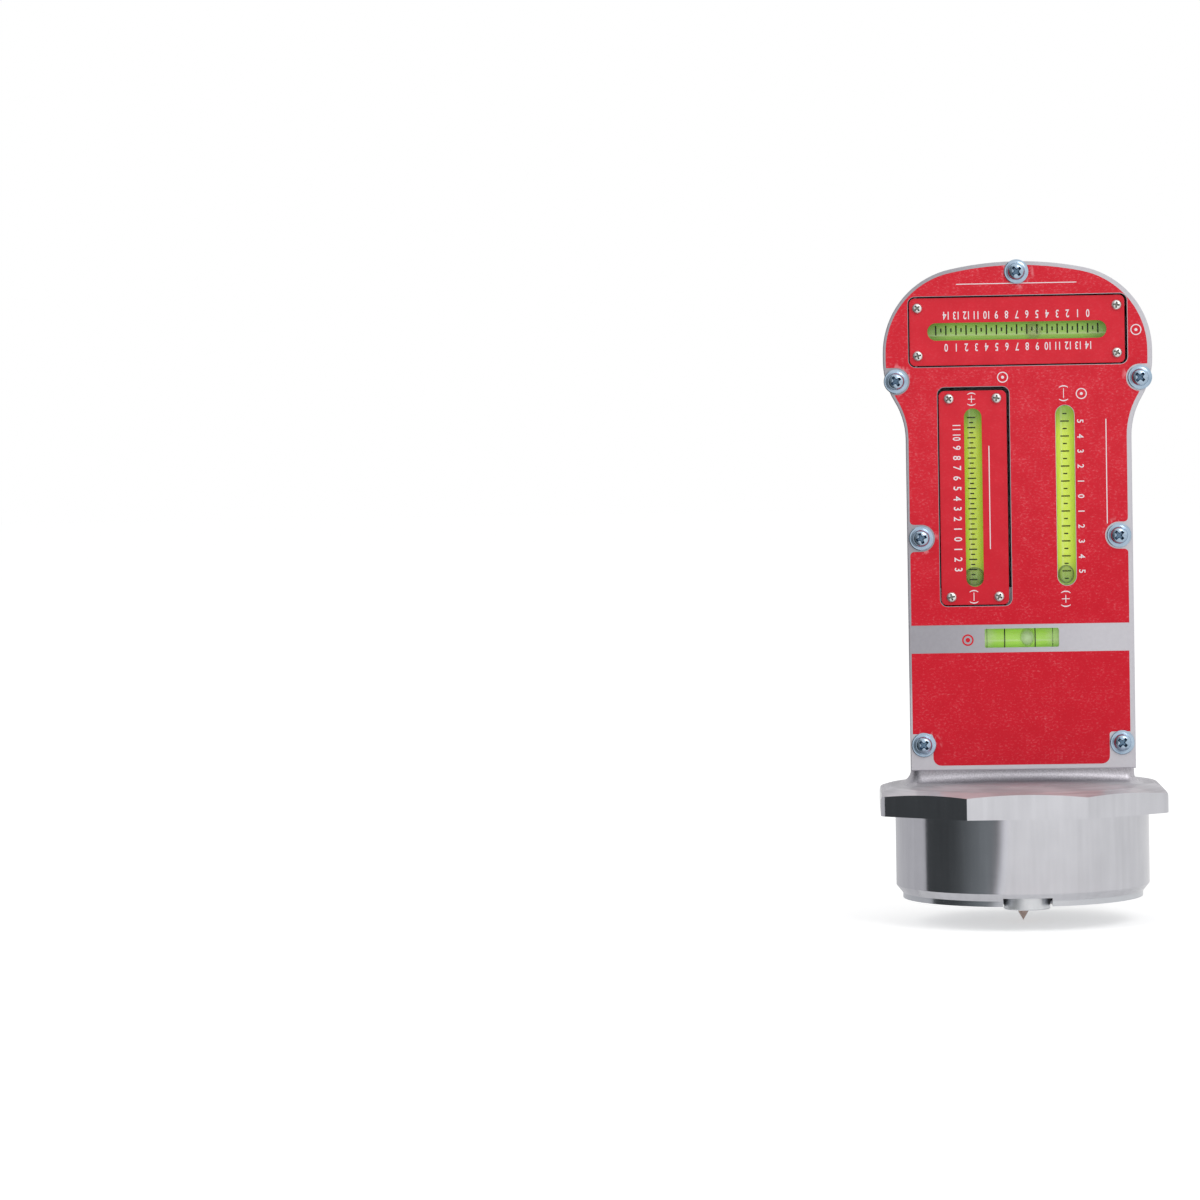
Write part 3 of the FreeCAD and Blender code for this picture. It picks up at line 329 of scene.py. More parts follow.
# %% Lamps
def softbox(name, place, aim, size, watts):
    """A large square lamp at place that faces aim."""
    lamp = bpy.data.objects.new(name, bpy.data.lights.new(name, "AREA"))
    lamp.data.shape, lamp.data.size, lamp.data.energy = "SQUARE", size, watts
    lamp.location = place
    lamp.rotation_euler = (Vector(aim) - Vector(place)).to_track_quat("-Z", "Y").to_euler()
    link(lamp)
    print(name, "is", round((Vector(aim) - Vector(place)).length, 2), "m away")


MIDDLE = (0, 0, 0.11)
softbox("key_lamp", (0.7, -1.3, 1.3), MIDDLE, 0.9, 9.0)
softbox("fill_lamp", (-1.1, -0.9, 1.1), MIDDLE, 0.9, 4.0)

# %% [markdown]
# Every new piece starts as a bmesh. One helper makes it an object at the origin, gives it a finish
# and lets it ride on the CAD body that carries it. Cutting is a Boolean that is applied at once,
# because windows and recesses have to be real openings.

# %% Mesh tools
PAINT = 0.05 * MM
PANEL_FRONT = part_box("front_panel")[0].y
CRISP = 0.6


def finished(name, mesh, finishes, body, replaces=()):
    """The bmesh as a smooth object with crisp edges that rides on body."""
    bmesh.ops.recalc_face_normals(mesh, faces=mesh.faces[:])
    for face in mesh.faces:
        face.smooth = True
    for edge in mesh.edges:
        edge.smooth = len(edge.link_faces) == 2 and edge.calc_face_angle() < CRISP
    made = as_object(name, mesh, *(finishes if isinstance(finishes, list) else [finishes]))
    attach(made, body)
    if replaces:
        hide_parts(*replaces)
    return made


def thicken(mesh, faces, depth):
    """Draws flat faces out by depth along Y."""
    reflection_streaks = bmesh.ops.extrude_face_region(mesh, geom=faces)["geom"]
    bmesh.ops.translate(mesh, verts=[v for v in reflection_streaks if isinstance(v, bmesh.types.BMVert)],
                        vec=(0, depth, 0))


def joined(*parts):
    """Several bmeshes as one."""
    whole = bmesh.new()
    for part in parts:
        passing = bpy.data.meshes.new("passing")
        part.to_mesh(passing)
        part.free()
        whole.from_mesh(passing)
        bpy.data.meshes.remove(passing)
    return whole


def facing(x, z, front):
    """The matrix that stands a shape drawn flat in XY up at (x, z) in mm, facing the viewer."""
    return Matrix.Translation((x * MM, front, z * MM)) @ Matrix.Rotation(math.pi / 2, 4, "X")


def flat_block(low, high, front, depth, radius=0.0):
    """A block from corner low to corner high in XZ, in mm, its outline's corners rounded."""
    mesh = bmesh.new()
    spread = Matrix.Diagonal(((high[0] - low[0]) * MM, (high[1] - low[1]) * MM, 1, 1))
    place = facing((low[0] + high[0]) / 2, (low[1] + high[1]) / 2, front) @ spread
    bmesh.ops.create_grid(mesh, x_segments=1, y_segments=1, size=0.5, matrix=place)
    if radius:
        bmesh.ops.bevel(mesh, geom=mesh.verts[:], offset=radius * MM * 0.998, affect="VERTICES",
                        segments=10, profile=0.5, material=-1)
    thicken(mesh, mesh.faces[:], depth)
    return mesh


def final_mesh(used):
    """The mesh of an object after its modifiers, or of a text, as a bmesh. The object goes."""
    seen = used.evaluated_get(bpy.context.evaluated_depsgraph_get())
    passing = bpy.data.meshes.new_from_object(seen)
    mesh = bmesh.new()
    mesh.from_mesh(passing)
    bpy.data.meshes.remove(passing)
    bpy.data.objects.remove(used)
    return mesh


def bare_object(mesh):
    """A bmesh as an object without a finish, for cutting."""
    bmesh.ops.recalc_face_normals(mesh, faces=mesh.faces[:])
    return as_object("cutting", mesh)


def carved(mesh, *cutters):
    """The bmesh less each cutter bmesh."""
    work = bare_object(mesh)
    tools = [bare_object(cutter) for cutter in cutters]
    for tool in tools:
        cut = work.modifiers.new("cut", "BOOLEAN")
        cut.object, cut.operation, cut.solver = tool, "DIFFERENCE", "EXACT"
    result = final_mesh(work)
    for tool in tools:
        bpy.data.objects.remove(tool)
    return result


print("panel front at", round(PANEL_FRONT / MM, 2), "mm")

# %% [markdown]
# The housing is one casting with several skins, mixed by height. The drum and the flange were
# turned and polished, so they carry fine rings and reflect the room. The flange's top is duller,
# the lip at the drum's foot lighter, and neck and paddle kept the satin grain of the mould.

# %% Casting
FLANGE_TOP_FROM, CAST_FROM, CAST_WHOLLY, LIP_HIGH = 43, 46.9, 48.1, 1.9
lip_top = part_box("pin_bush")[0].z / MM + LIP_HIGH
casting = Finish("casting_metal", Specular_IOR_Level=0.0)
up_the_casting = casting.along(Z)
faces_up = casting.part(casting.node("ShaderNodeTexCoord", output="Normal"), Z)
grain = casting.noise(0.45 * MM, detail=4)
rings = casting.noise(1.6 * MM, stretch=(0.05, 0.05, 4.0))
# Painted reflection: vertical streaks stand in for the room's reflection smeared down the turned
# drum.
reflection_streaks = casting.noise(3.0 * MM, detail=4, stretch=(1.2, 1.2, 0.08))
patches = casting.noise(14 * MM, detail=2)
as_cast = casting.ramp(up_the_casting + patches * 0.8, CAST_FROM, CAST_WHOLLY)
turned = 1 - as_cast
on_lip = casting.ramp(up_the_casting, lip_top + 0.1, lip_top - 0.1)
on_top = casting.ramp(faces_up, 0.3, 0.6) * (up_the_casting > FLANGE_TOP_FROM)
polished = turned * (1 - on_lip) * (1 - on_top)
# The polished tint mixes random patches with the painted reflection streaks.
polished_colour = casting.mix(patches * 0.5 + reflection_streaks * 0.6, (181, 181, 186), (218, 218, 223))
cast_colour = casting.mix(casting.ramp(grain, 0.3, 0.7), (172, 169, 175), (198, 195, 201))
top_colour = casting.mix(casting.ramp(rings * 0.5 + patches * 0.5, 0.35, 0.65),
                         (178, 176, 181), (206, 204, 209))
lip_colour = casting.mix(patches, (186, 189, 194), (212, 214, 218))
turned_colour = casting.mix(on_top, polished_colour, top_colour)
casting.set(
    Base_Color=casting.mix(on_lip, casting.mix(as_cast, turned_colour, cast_colour), lip_colour),
    Metallic=1 - on_top * turned * 0.7,
    Roughness=(0.07 + rings * 0.07 + reflection_streaks * 0.05) * polished
    + on_top * turned * (0.20 + rings * 0.1)
    + as_cast * (0.40 + grain * 0.12) + on_lip * (0.12 + rings * 0.1))
casting.bump(grain * as_cast + rings * turned * 0.06, 0.05 * MM, 0.5)
print("lip up to", round(lip_top, 2), "mm, bare casting from", CAST_FROM, "mm")

# %% [markdown]
# Behind the print the panel is plain aluminium sheet, etched to a silver grey that hardly mirrors
# anything. Painted shade darkens it towards the left, painted light brightens its foot, and it is
# faintly mottled. The holders behind it are pale plastic, the first of the finishes that one
# function makes from blotches.

# %% Panel and holders
sheet_metal = Finish("etched_aluminium", Metallic=0.5)
mottle = sheet_metal.noise(1.1 * MM, detail=4)
# Painted shade and light: the sheet is darker towards the left and lit up at the foot; only the
# mottle is its own.
painted_light_at_foot = sheet_metal.ramp(sheet_metal.along(Z), 88, 72, 0.0, 50.0)
painted_shade_and_mottle = sheet_metal.ramp(sheet_metal.along(X) + painted_light_at_foot, -34, 30, 0.0, 0.75) + mottle * 0.25
sheet_metal.set(Base_Color=sheet_metal.mix(painted_shade_and_mottle, (156, 154, 161), (208, 206, 212)),
                Roughness=0.36 + mottle * 0.12)
sheet_metal.bump(mottle, 0.012 * MM, 0.5)


def blotched(name, dark, light, size, detail, gloss, rough, uneven, relief=0.0, strength=0.0):
    """Plastic or print whose tint, roughness and surface vary in blotches, sizes in mm."""
    made = Finish(name, Specular_IOR_Level=gloss)
    blotches = made.noise(size * MM, detail)
    made.set(Base_Color=made.mix(blotches, dark, light), Roughness=rough + blotches * uneven)
    if relief:
        made.bump(blotches, relief * MM, strength)
    return made


holder_plastic = blotched("holder_plastic", (226, 232, 206), (240, 243, 226),
                          2.2, 3, 0.4, 0.45, 0.15, 0.02, 0.3)

# %% [markdown]
# The red is a baked paint on the panel and on the two plates. On the panel it lies over an etched
# surface, so pale flecks come through, and the washers that were turned on it left scuffs.

# %% Red paint
SCUFFS = [(side * across, high) for side in (-1, 1)
          for across, high in ((32.35, 127.9), (39.85, 179.5), (32.5, 59.9))] + [(0, 214.8)]


def red_paint(name, flecks, coat, scuffed_at=()):
    """Red paint with pale flecks, and scuffs round places (x, z) in mm."""
    paint = Finish(name, Specular_IOR_Level=0.22, Coat_Weight=coat, Coat_Roughness=0.22)
    cloud = paint.noise(6 * MM)
    fine = paint.noise(0.6 * MM, detail=4, stretch=(0.6, 1, 1.0), roughness=0.75)
    upper = paint.ramp(paint.along(Z), 90, 170)
    fleck = paint.ramp(fine + cloud * 0.22 + upper * 0.03, 0.62, 0.90) * flecks
    low_down = paint.mix(cloud, (202, 6, 34), (216, 14, 42))
    high_up = paint.mix(cloud, (206, 22, 42), (226, 34, 54))
    away = [paint.node("ShaderNodeVectorMath", {"operation": "DISTANCE"},
                       {0: paint.place(scale=(1, 0, 1)), 1: (x * MM, 0, z * MM)}, output=1) / MM
            for x, z in scuffed_at]
    if away:
        nearest = away[0]
        for distance in away[1:]:
            nearest = nearest.maths("MINIMUM", distance)
        streaks = paint.noise(1.6 * MM, stretch=(1.0, 1, 0.5))
        fleck += paint.ramp(nearest, 6.6, 4.6) * paint.ramp(streaks, 0.56, 0.70) * 0.8
    paint.set(Base_Color=paint.mix(fleck.maths("MINIMUM", 1.0),
                                   paint.mix(upper, low_down, high_up), (236, 132, 140)),
              Roughness=0.36 + fine * 0.2)
    paint.bump(fine, 0.015 * MM, 0.35)
    return paint


panel_red = red_paint("panel_red", 0.5, 0.06, SCUFFS)
plate_red = red_paint("plate_red", 0.12, 0.2)
print("two reds mixed,", len(SCUFFS), "scuffs on the panel")

# %% [markdown]
# Screws and washers are zinc plated, a cool blue-white. Bolts and clips are bright steel, the
# inserts brass, the pin a pale coppery bronze and the magnets nickel grey. One function makes them
# all. The clear tubes come last: nearly all of their look is the spirit in them.

# %% Small metals, plastics and tubes
def small_metal(name, dark, light, rough, mark=0.3, depth=0.01, metallic=1.0):
    """Bare or plated metal whose tint, gloss and surface vary a little."""
    metal = Finish(name, Metallic=metallic)
    marks = metal.noise(mark * MM, detail=4)
    stain = metal.noise(2.5 * MM, detail=2)
    metal.set(Base_Color=metal.mix(stain, dark, light), Roughness=rough + marks * 0.14)
    metal.bump(marks, depth * MM, 0.5)
    return metal


zinc = small_metal("zinc_plating", (142, 166, 188), (190, 208, 224), 0.15)
steel = small_metal("bright_steel", (188, 190, 194), (214, 216, 220), 0.24)
spring_steel = small_metal("spring_wire", (150, 152, 158), (186, 188, 194), 0.28)
nickel = small_metal("magnet_nickel", (206, 208, 211), (228, 230, 232), 0.30, 0.6, 0.02)
brass = small_metal("brass", (186, 150, 84), (214, 180, 110), 0.26)
bronze = small_metal("pin_bronze", (236, 206, 192), (250, 232, 222), 0.34, metallic=0.35)
bush_steel = small_metal("bush_steel", (150, 152, 156), (184, 186, 190), 0.30)
knob_plastic = blotched("knob_plastic", (24, 24, 27), (40, 40, 44),
                        0.5, 4, 0.5, 0.38, 0.2, 0.03, 0.4)
plug_plastic = blotched("plug_plastic", (150, 176, 120), (186, 204, 160), 0.9, 3, 0.4, 0.4, 0.2)
clear = Finish("clear_tube", Roughness=0.03, IOR=1.35)
haze = clear.noise(3 * MM, detail=2)
clear.set(Base_Color=clear.mix(haze, (225, 240, 190), (240, 250, 215)), Alpha=0.06 + haze * 0.03)

# %% [markdown]
# Each CAD node that keeps its own shape now gets its finish. The finish goes into the material
# slots of the node's object, so the CAD mesh itself isn't touched.

# %% Dress the CAD nodes
DRESS = {
    "casting": casting, "panel": sheet_metal, "plate": plate_red, "zinc_screw": zinc,
    "steel": steel, "magnet": nickel, "spring_steel": spring_steel, "pin": bronze,
    "bush": bush_steel, "insert": brass, "clear_tube": clear, "plug": plug_plastic,
    "holder": holder_plastic, "knob": knob_plastic,
}
for node in frame["nodes"].values():
    for place in node.material_slots:
        finish = DRESS.get(place.material.name.split(".")[0])
        if finish:
            place.material = finish.material
print(len(frame["nodes"]), "nodes dressed")

# %% [markdown]
# The CAD says where every washer, screw and window is. Vertices that hang together through edges
# are one solid, or one rim, and its box tells where it is. So the paint steps back round the real
# screws and follows them if they move.

# %% Read places from the CAD
def welded(node):
    """A bmesh copy of a CAD node with its loose triangles joined up."""
    mesh = bmesh.new()
    mesh.from_mesh(frame["nodes"][node].data)
    bmesh.ops.remove_doubles(mesh, verts=mesh.verts[:], dist=0.001 * MM)
    return mesh


def groups(edges):
    """Sets of vertices that hang together through the edges."""
    links = {}
    for edge in edges:
        for vert in edge.verts:
            links.setdefault(vert, set()).add(edge.other_vert(vert))
    left, found = set(links), []
    while left:
        group, waiting = set(), [left.pop()]
        while waiting:
            vert = waiting.pop()
            group.add(vert)
            fresh = links[vert] & left
            left -= fresh
            waiting.extend(fresh)
        found.append(group)
    return found


def box_of(points):
    """The low and high corner of points, in mm."""
    return (Vector(min(p[k] for p in points) / MM for k in range(3)),
            Vector(max(p[k] for p in points) / MM for k in range(3)))


def solid_boxes(node):
    """The box of each solid of a node, in mm, from low to high and left to right."""
    mesh = welded(node)
    boxes = [box_of([v.co for v in group]) for group in groups(mesh.edges)]
    mesh.free()
    return sorted(boxes, key=lambda box: (round(box[0].z), box[0].x))


def middle_of(box):
    return (box[0] + box[1]) / 2


washers = solid_boxes("panel_washers")
print("washers at", [tuple(round(v, 2) for v in middle_of(box)) for box in washers])

# %% [markdown]
# The rims of the panel's front face are its outline, its windows and its screw holes: the edges
# with a single triangle, once all but the front plane is gone. A hole is small, and only the
# outline is wider than any window.

# %% Rims of the panel's front
HOLE_WIDE, WINDOW_LOWEST, WINDOW_TALLEST, WINDOW_WIDEST = 12, 5, 120, 80


def is_window(box):
    wide, _, high = box[1] - box[0]
    return (WINDOW_LOWEST < high < WINDOW_TALLEST and wide < WINDOW_WIDEST
            and max(high, wide) > HOLE_WIDE)


face_mesh = welded("front_panel")
behind = [f for f in face_mesh.faces
          if f.normal.y > -0.999 or f.calc_center_median().y > PANEL_FRONT + 0.01 * MM]
bmesh.ops.delete(face_mesh, geom=behind, context="FACES")
rim_edges = [e for e in face_mesh.edges if len(e.link_faces) == 1]
rims = [(box_of([v.co for v in rim]), rim) for rim in groups(rim_edges)]
outline_rim = max(rims, key=lambda rim: rim[0][1].z - rim[0][0].z)[1]
windows = sorted((box for box, rim in rims if is_window(box)), key=lambda box: box[0].z)
level_window, castor_window, camber_window, kingpin_window = windows
print("windows:", [[round(v, 2) for v in (b[0].x, b[1].x, b[0].z, b[1].z)] for b in windows])

# %% [markdown]
# The red is a coat of paint whose outline is the panel's own, inset by a hair. It steps back round
# the screws and the windows, and leaves a silver band for the level vial.

# %% Upper red field
EDGE_MARGIN, SIDE_SHIFT, WAIST_HALF = 0.95, -0.33, 36.6
BAND_LOW, BAND_HIGH = 90.0, 99.2
BARE_EDGE, WINDOW_CORNER = 0.14, 2.4
NOTCH_DEEP, NOTCH_HIGH, NOTCH_CORNER = 4.5, 4.45, 1.3
THROUGH, WELL_OUTSIDE = 1.0 * MM, 20

upper = bmesh.new()
twins = {vert: upper.verts.new(vert.co) for vert in outline_rim}
for edge in rim_edges:
    if edge.verts[0] in twins and edge.verts[1] in twins:
        upper.edges.new([twins[vert] for vert in edge.verts])
face_mesh.free()
bmesh.ops.contextual_create(upper, geom=upper.edges[:])
edging = bmesh.ops.inset_region(upper, faces=upper.faces[:], thickness=EDGE_MARGIN * MM,
                                use_boundary=True, use_even_offset=True)
bmesh.ops.delete(upper, geom=edging["faces"], context="FACES")
bmesh.ops.bisect_plane(upper, geom=upper.verts[:] + upper.edges[:] + upper.faces[:],
                       plane_co=(0, 0, BAND_HIGH * MM), plane_no=(0, 0, 1), clear_inner=True)
bmesh.ops.translate(upper, verts=upper.verts[:], vec=(SIDE_SHIFT * MM, 0, 0))
thicken(upper, upper.faces[:], -PAINT)


def cutter(low, high, radius):
    """A cutter through the paint, from corner to corner in mm."""
    return flat_block(low, high, PANEL_FRONT - THROUGH, 2 * THROUGH, radius)


def opening(box, radius):
    """A cutter for a window whose paint stops a hair outside its edge."""
    return cutter((box[0].x - BARE_EDGE, box[0].z - BARE_EDGE),
                  (box[1].x + BARE_EDGE, box[1].z + BARE_EDGE), radius + BARE_EDGE)


def side_notch(washer):
    """A cutter from a washer out over the nearest side of the panel."""
    at = middle_of(washer)
    side = math.copysign(1, at.x)
    reach = sorted((at.x - side * NOTCH_DEEP, at.x + side * WELL_OUTSIDE))
    return cutter((reach[0], at.z - NOTCH_HIGH), (reach[1], at.z + NOTCH_HIGH), NOTCH_HIGH * 0.99)


def round_uprights(mesh, places, radius):
    """Rounds the edges along Y that stand close to one of the places (x, z)."""
    chosen = []
    for edge in mesh.edges:
        along = (edge.verts[1].co - edge.verts[0].co).normalized()
        at = (edge.verts[0].co + edge.verts[1].co) / 2 / MM
        if abs(along.y) > 0.99 and any(math.hypot(at.x - x, at.z - z) < 0.3 for x, z in places):
            chosen.append(edge)
    bmesh.ops.bevel(mesh, geom=chosen, offset=radius * MM, affect="EDGES", segments=6,
                    profile=0.5, material=-1, clamp_overlap=True)
    print("rounded", len(chosen), "corners")


side_washers = [box for box in washers if BAND_HIGH < box[0].z and abs(middle_of(box).x) > 10]
camber_round = (camber_window[1].x - camber_window[0].x) / 2 - 0.01
upper = carved(upper, opening(castor_window, WINDOW_CORNER),
               opening(kingpin_window, WINDOW_CORNER), opening(camber_window, camber_round),
               *[side_notch(box) for box in side_washers])
waist_z = middle_of(side_washers[0]).z
round_uprights(upper, [(side * (WAIST_HALF - EDGE_MARGIN) + SIDE_SHIFT, waist_z + high)
                       for side in (1, -1) for high in (-NOTCH_HIGH, NOTCH_HIGH)], NOTCH_CORNER)
finished("red_field_upper", upper, panel_red, "gauge_body")

# %% [markdown]
# The lower field is a block of paint under the band. Its lower corners are cut away round the
# bottom screws, and the tongue between them ends in larger rounds.

# %% Lower red field
FOOT_LEFT, FOOT_RIGHT, FOOT_Z = -36.05, 35.2, 53.0
NOTCH_LEFT, NOTCH_RIGHT, NOTCH_TOP, BELOW_FOOT = -29.4, 28.4, 63.5, 40
lower = carved(flat_block((FOOT_LEFT, FOOT_Z), (FOOT_RIGHT, BAND_LOW), PANEL_FRONT, -PAINT),
               cutter((NOTCH_LEFT - WELL_OUTSIDE, BELOW_FOOT), (NOTCH_LEFT, NOTCH_TOP), 1.0),
               cutter((NOTCH_RIGHT, BELOW_FOOT), (NOTCH_RIGHT + WELL_OUTSIDE, NOTCH_TOP), 1.0))
round_uprights(lower, [(NOTCH_LEFT, FOOT_Z), (NOTCH_RIGHT, FOOT_Z)], 2.6)
finished("red_field_lower", lower, panel_red, "gauge_body")

# %% [markdown]
# The scales are printed: figures, signs, rules and rings in white, and black lines on the vials.
# Only plain numbers and signs are drawn; the words of the real print are left bare. Figures come
# from Blender's own font as thin solids, scaled to their printed height and narrowed.

# %% Print tools
INK = 0.03 * MM
BOLD = 0.014
UPSIDE_DOWN, SIDEWAYS = 180, -90
print_white = blotched("print_white", (226, 214, 220), (248, 242, 246),
                       0.5, 4, 0.3, 0.45, 0.2, 0.01, 0.3)
print_black = blotched("print_black", (8, 16, 8), (26, 40, 20), 0.5, 4, 0.3, 0.5, 0.2)


def figure(text, height, narrow, turn, at, front):
    """Text of that height in mm, centred at (x, z) and turned in the panel's plane."""
    curve = bpy.data.curves.new("figure", "FONT")
    curve.body, curve.resolution_u, curve.offset = text, 4, BOLD
    writer = bpy.data.objects.new("figure", curve)
    link(writer)
    mesh = final_mesh(writer)
    bpy.data.curves.remove(curve)
    bmesh.ops.remove_doubles(mesh, verts=mesh.verts[:], dist=0.0001)
    low, high = box_of([v.co for v in mesh.verts])
    grow = height / (high.y - low.y)
    place = (facing(*at, front) @ Matrix.Rotation(math.radians(turn), 4, "Z")
             @ Matrix.Diagonal((grow * narrow, grow, 1, 1))
             @ Matrix.Translation((low + high) / -2 * MM))
    bmesh.ops.transform(mesh, matrix=place, verts=mesh.verts[:])
    thicken(mesh, mesh.faces[:], -INK)
    return mesh


def rule(low, high, front):
    """A printed line, from corner to corner in mm."""
    return flat_block(low, high, front, -INK)


def ring_mark(at, radius, stroke, front):
    """A printed ring with a dot in it: the disc is inset by the stroke and loses its middle."""
    mesh = bmesh.new()
    place = facing(*at, front)
    bmesh.ops.create_circle(mesh, cap_ends=True, segments=40, radius=radius * MM, matrix=place)
    disc = mesh.faces[:]
    bmesh.ops.inset_region(mesh, faces=disc, thickness=stroke * MM, use_boundary=True,
                           use_even_offset=True)
    bmesh.ops.delete(mesh, geom=disc, context="FACES")
    bmesh.ops.create_circle(mesh, cap_ends=True, segments=20, radius=stroke * 1.5 * MM,
                            matrix=place)
    thicken(mesh, mesh.faces[:], -INK)
    return mesh


def sign(plus, high, long, arm, at, front, stroke=0.26):
    """A plus or a minus between brackets, printed sideways, long from bracket to bracket."""
    x, z = at
    half = stroke / 2
    parts = [figure("(", high, 0.95, SIDEWAYS, (x, z + long / 2 - 0.3), front),
             figure(")", high, 0.95, SIDEWAYS, (x, z - long / 2 + 0.3), front),
             rule((x - half, z - arm / 2), (x + half, z + arm / 2), front)]
    if plus:
        parts += [rule((x + near, z - half), (x + far, z + half), front)
                  for near, far in ((-arm / 2, -half), (half, arm / 2))]
    return joined(*parts)


print("print tools ready")

# %% [markdown]
# The castor plate carries one row of figures, read sideways, with a sign at each end and a rule.
# The kingpin plate carries two rows that count in opposite ways, upside down. The print tilts with
# its carrier.

# %% Figures on the plates
CASTOR_ZERO, CASTOR_COUNT, CASTOR_TOP, CASTOR_STEP = 11, 15, 164.1, 3.336
KINGPIN_LAST, KINGPIN_HALF = 14, 23.2
castor_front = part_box("castor_scale_plate")[0].y
kingpin_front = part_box("kingpin_scale_plate")[0].y
castor_print = [sign(True, 2.7, 4.2, 2.3, (-15.2, 173.3), castor_front),
                sign(False, 2.8, 4.3, 2.7, (-15.3, 108.4), castor_front),
                rule((-9.86, 124.0), (-9.54, 157.9), castor_front)]
for k in range(CASTOR_COUNT):
    number = abs(CASTOR_ZERO - k)
    castor_print.append(figure(str(number), 2.6, 0.85 if number < 10 else 0.72, SIDEWAYS,
                               (-20.2, CASTOR_TOP - CASTOR_STEP * k), castor_front))
finished("castor_figures", joined(*castor_print), print_white, "castor_carrier_set")
kingpin_print = []
for k in range(KINGPIN_LAST + 1):
    x = KINGPIN_HALF * (2 * k / KINGPIN_LAST - 1)
    kingpin_print += [figure(str(number), 2.6, 0.68, UPSIDE_DOWN, (x, z), kingpin_front)
                      for number, z in ((KINGPIN_LAST - k, 200.8), (k, 190.3))]
finished("kingpin_figures", joined(*kingpin_print), print_white, "kingpin_carrier_set")
print("plates printed")

# %% [markdown]
# The panel carries the camber figures, from 5 through 0 to 5, two signs, two rules and the ring
# marks. The ring beside the level vial is red, because it lies on bare metal.

# %% Figures on the panel
CAMBER_MOST, CAMBER_TOP, CAMBER_STEP = 5, 165.5, 4.92
paint_front = PANEL_FRONT - PAINT
camber_print = [figure(str(abs(CAMBER_MOST - k)), 2.1, 0.95, SIDEWAYS,
                       (20.2, CAMBER_TOP - CAMBER_STEP * k), paint_front)
                for k in range(2 * CAMBER_MOST + 1)]
camber_print += [sign(False, 3.0, 5.0, 3.2, (14.9, 174.7), paint_front, 0.22),
                 sign(True, 3.1, 5.1, 2.6, (14.7, 107.3), paint_front),
                 rule((28.44, 131.8), (28.76, 166.1), paint_front),
                 rule((-19.7, 210.86), (19.6, 211.14), paint_front)]
camber_print += [ring_mark(at, 1.8, 0.33, paint_front)
                 for at in ((38.8, 195.1), (-4.93, 180.3), (20.7, 174.5))]
finished("panel_figures", joined(*camber_print), print_white, "gauge_body")
level_ring = ring_mark((-17.55, 94.2), 1.9, 0.5, PANEL_FRONT)
finished("level_ring", level_ring, plate_red, "gauge_body")
print("panel printed")

# %% [markdown]
# A vial is a clear tube of yellow-green spirit with a bubble in it and fine black lines printed on
# it. The tubes' sizes are read from the CAD. A line is a band round the front of the tube: a short
# edge is spun about the tube's axis.

# %% Vial tools
CARRIED_BY = {"castor": "castor_carrier_set", "kingpin": "kingpin_carrier_set",
              "camber": "gauge_body", "level": "gauge_body"}


def vial(unit):
    """Centre in mm, direction of length, outer and bore radius, and ends between the plugs."""
    low, high = box_of(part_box(f"{unit}_vial_tube"))
    along = X if high.x - low.x > high.z - low.z else Z
    first, last = sorted(solid_boxes(f"{unit}_vial_plugs"), key=lambda box: box[0][along])
    return {"centre": (low + high) / 2, "along": along, "outer": (high.y - low.y) / 2,
            "bore": (first[1].y - first[0].y) / 2, "inner": (first[1][along], last[0][along])}


def line(unit, at, length, thick, shift=0.0):
    """A line across the front of a vial at a place along it, length mm wide from the front."""
    tube = VIALS[unit]
    radius = tube["outer"] + 0.01
    upright = tube["along"] == Z
    reach = math.asin(length / 2 / radius)
    lean = math.asin(shift / radius)
    start = -reach + lean if upright else reach + lean
    centre = tube["centre"].copy()
    centre[tube["along"]] = at
    mesh = bmesh.new()
    ends = []
    for half in (-thick / 2, thick / 2):
        point = centre.copy()
        point[tube["along"]] += half
        point[X if upright else Z] += radius * math.sin(start)
        point[Y] -= radius * math.cos(start)
        ends.append(mesh.verts.new(point * MM))
    edge = mesh.edges.new(ends)
    bmesh.ops.spin(mesh, geom=ends + [edge], cent=centre * MM,
                   axis=(0, 0, 1) if upright else (1, 0, 0), angle=2 * reach, steps=8)
    bmesh.ops.recalc_face_normals(mesh, faces=mesh.faces[:])
    bmesh.ops.solidify(mesh, geom=mesh.faces[:], thickness=INK)
    return mesh


VIALS = {unit: vial(unit) for unit in CARRIED_BY}
print({unit: [round(v, 2) for v in tube["inner"]] for unit, tube in VIALS.items()})

# %% [markdown]
# Long and short lines take turns on the three measuring vials. The level vial has a line on each
# side of its bubble, and a thin green band at each end, where its glass closes.

# %% Lines on the vials
def evenly(first, step, count):
    return [first + step * k for k in range(count)]


glass_edge = Finish("glass_edge", Roughness=0.1, Specular_IOR_Level=0.6)
glint = glass_edge.noise(0.7 * MM, detail=2)
glass_edge.set(Base_Color=glass_edge.mix(glint, (96, 138, 74), (150, 186, 120)),
               Alpha=0.55 + glint * 0.2)
LINES = {  # vial, finish, and rows of (places along it, length, thickness, shift to the side)
    "castor_vial_lines": ("castor", print_black, (evenly(167.3, -3.331, 17), 2.7, 0.42, -0.5),
                          (evenly(165.6345, -3.331, 16), 1.3, 0.42, -0.5)),
    "kingpin_vial_lines": ("kingpin", print_black, (evenly(-26.5, 3.3125, 17), 3.2, 0.48, 0.5),
                           (evenly(-24.84375, 3.3125, 16), 1.3, 0.5, 0.5)),
    "camber_vial_lines": ("camber", print_black, (evenly(165.6, -4.92, 11), 2.8, 0.42),
                          (evenly(168.06, -4.92, 12), 1.35, 0.42)),
    "level_vial_end_bands": ("level", glass_edge, ([10.35], 7.6, 0.3), ([-11.2], 7.6, 0.24)),
    "level_vial_lines": ("level", print_black, ([-5.4, 4.6], 7.4, 0.38)),
}
for name, (unit, finish, *rows) in LINES.items():
    lines = [line(unit, at, *look) for places, *look in rows for at in places]
    finished(name, joined(*lines), finish, CARRIED_BY[unit])
print("vial lines laid")
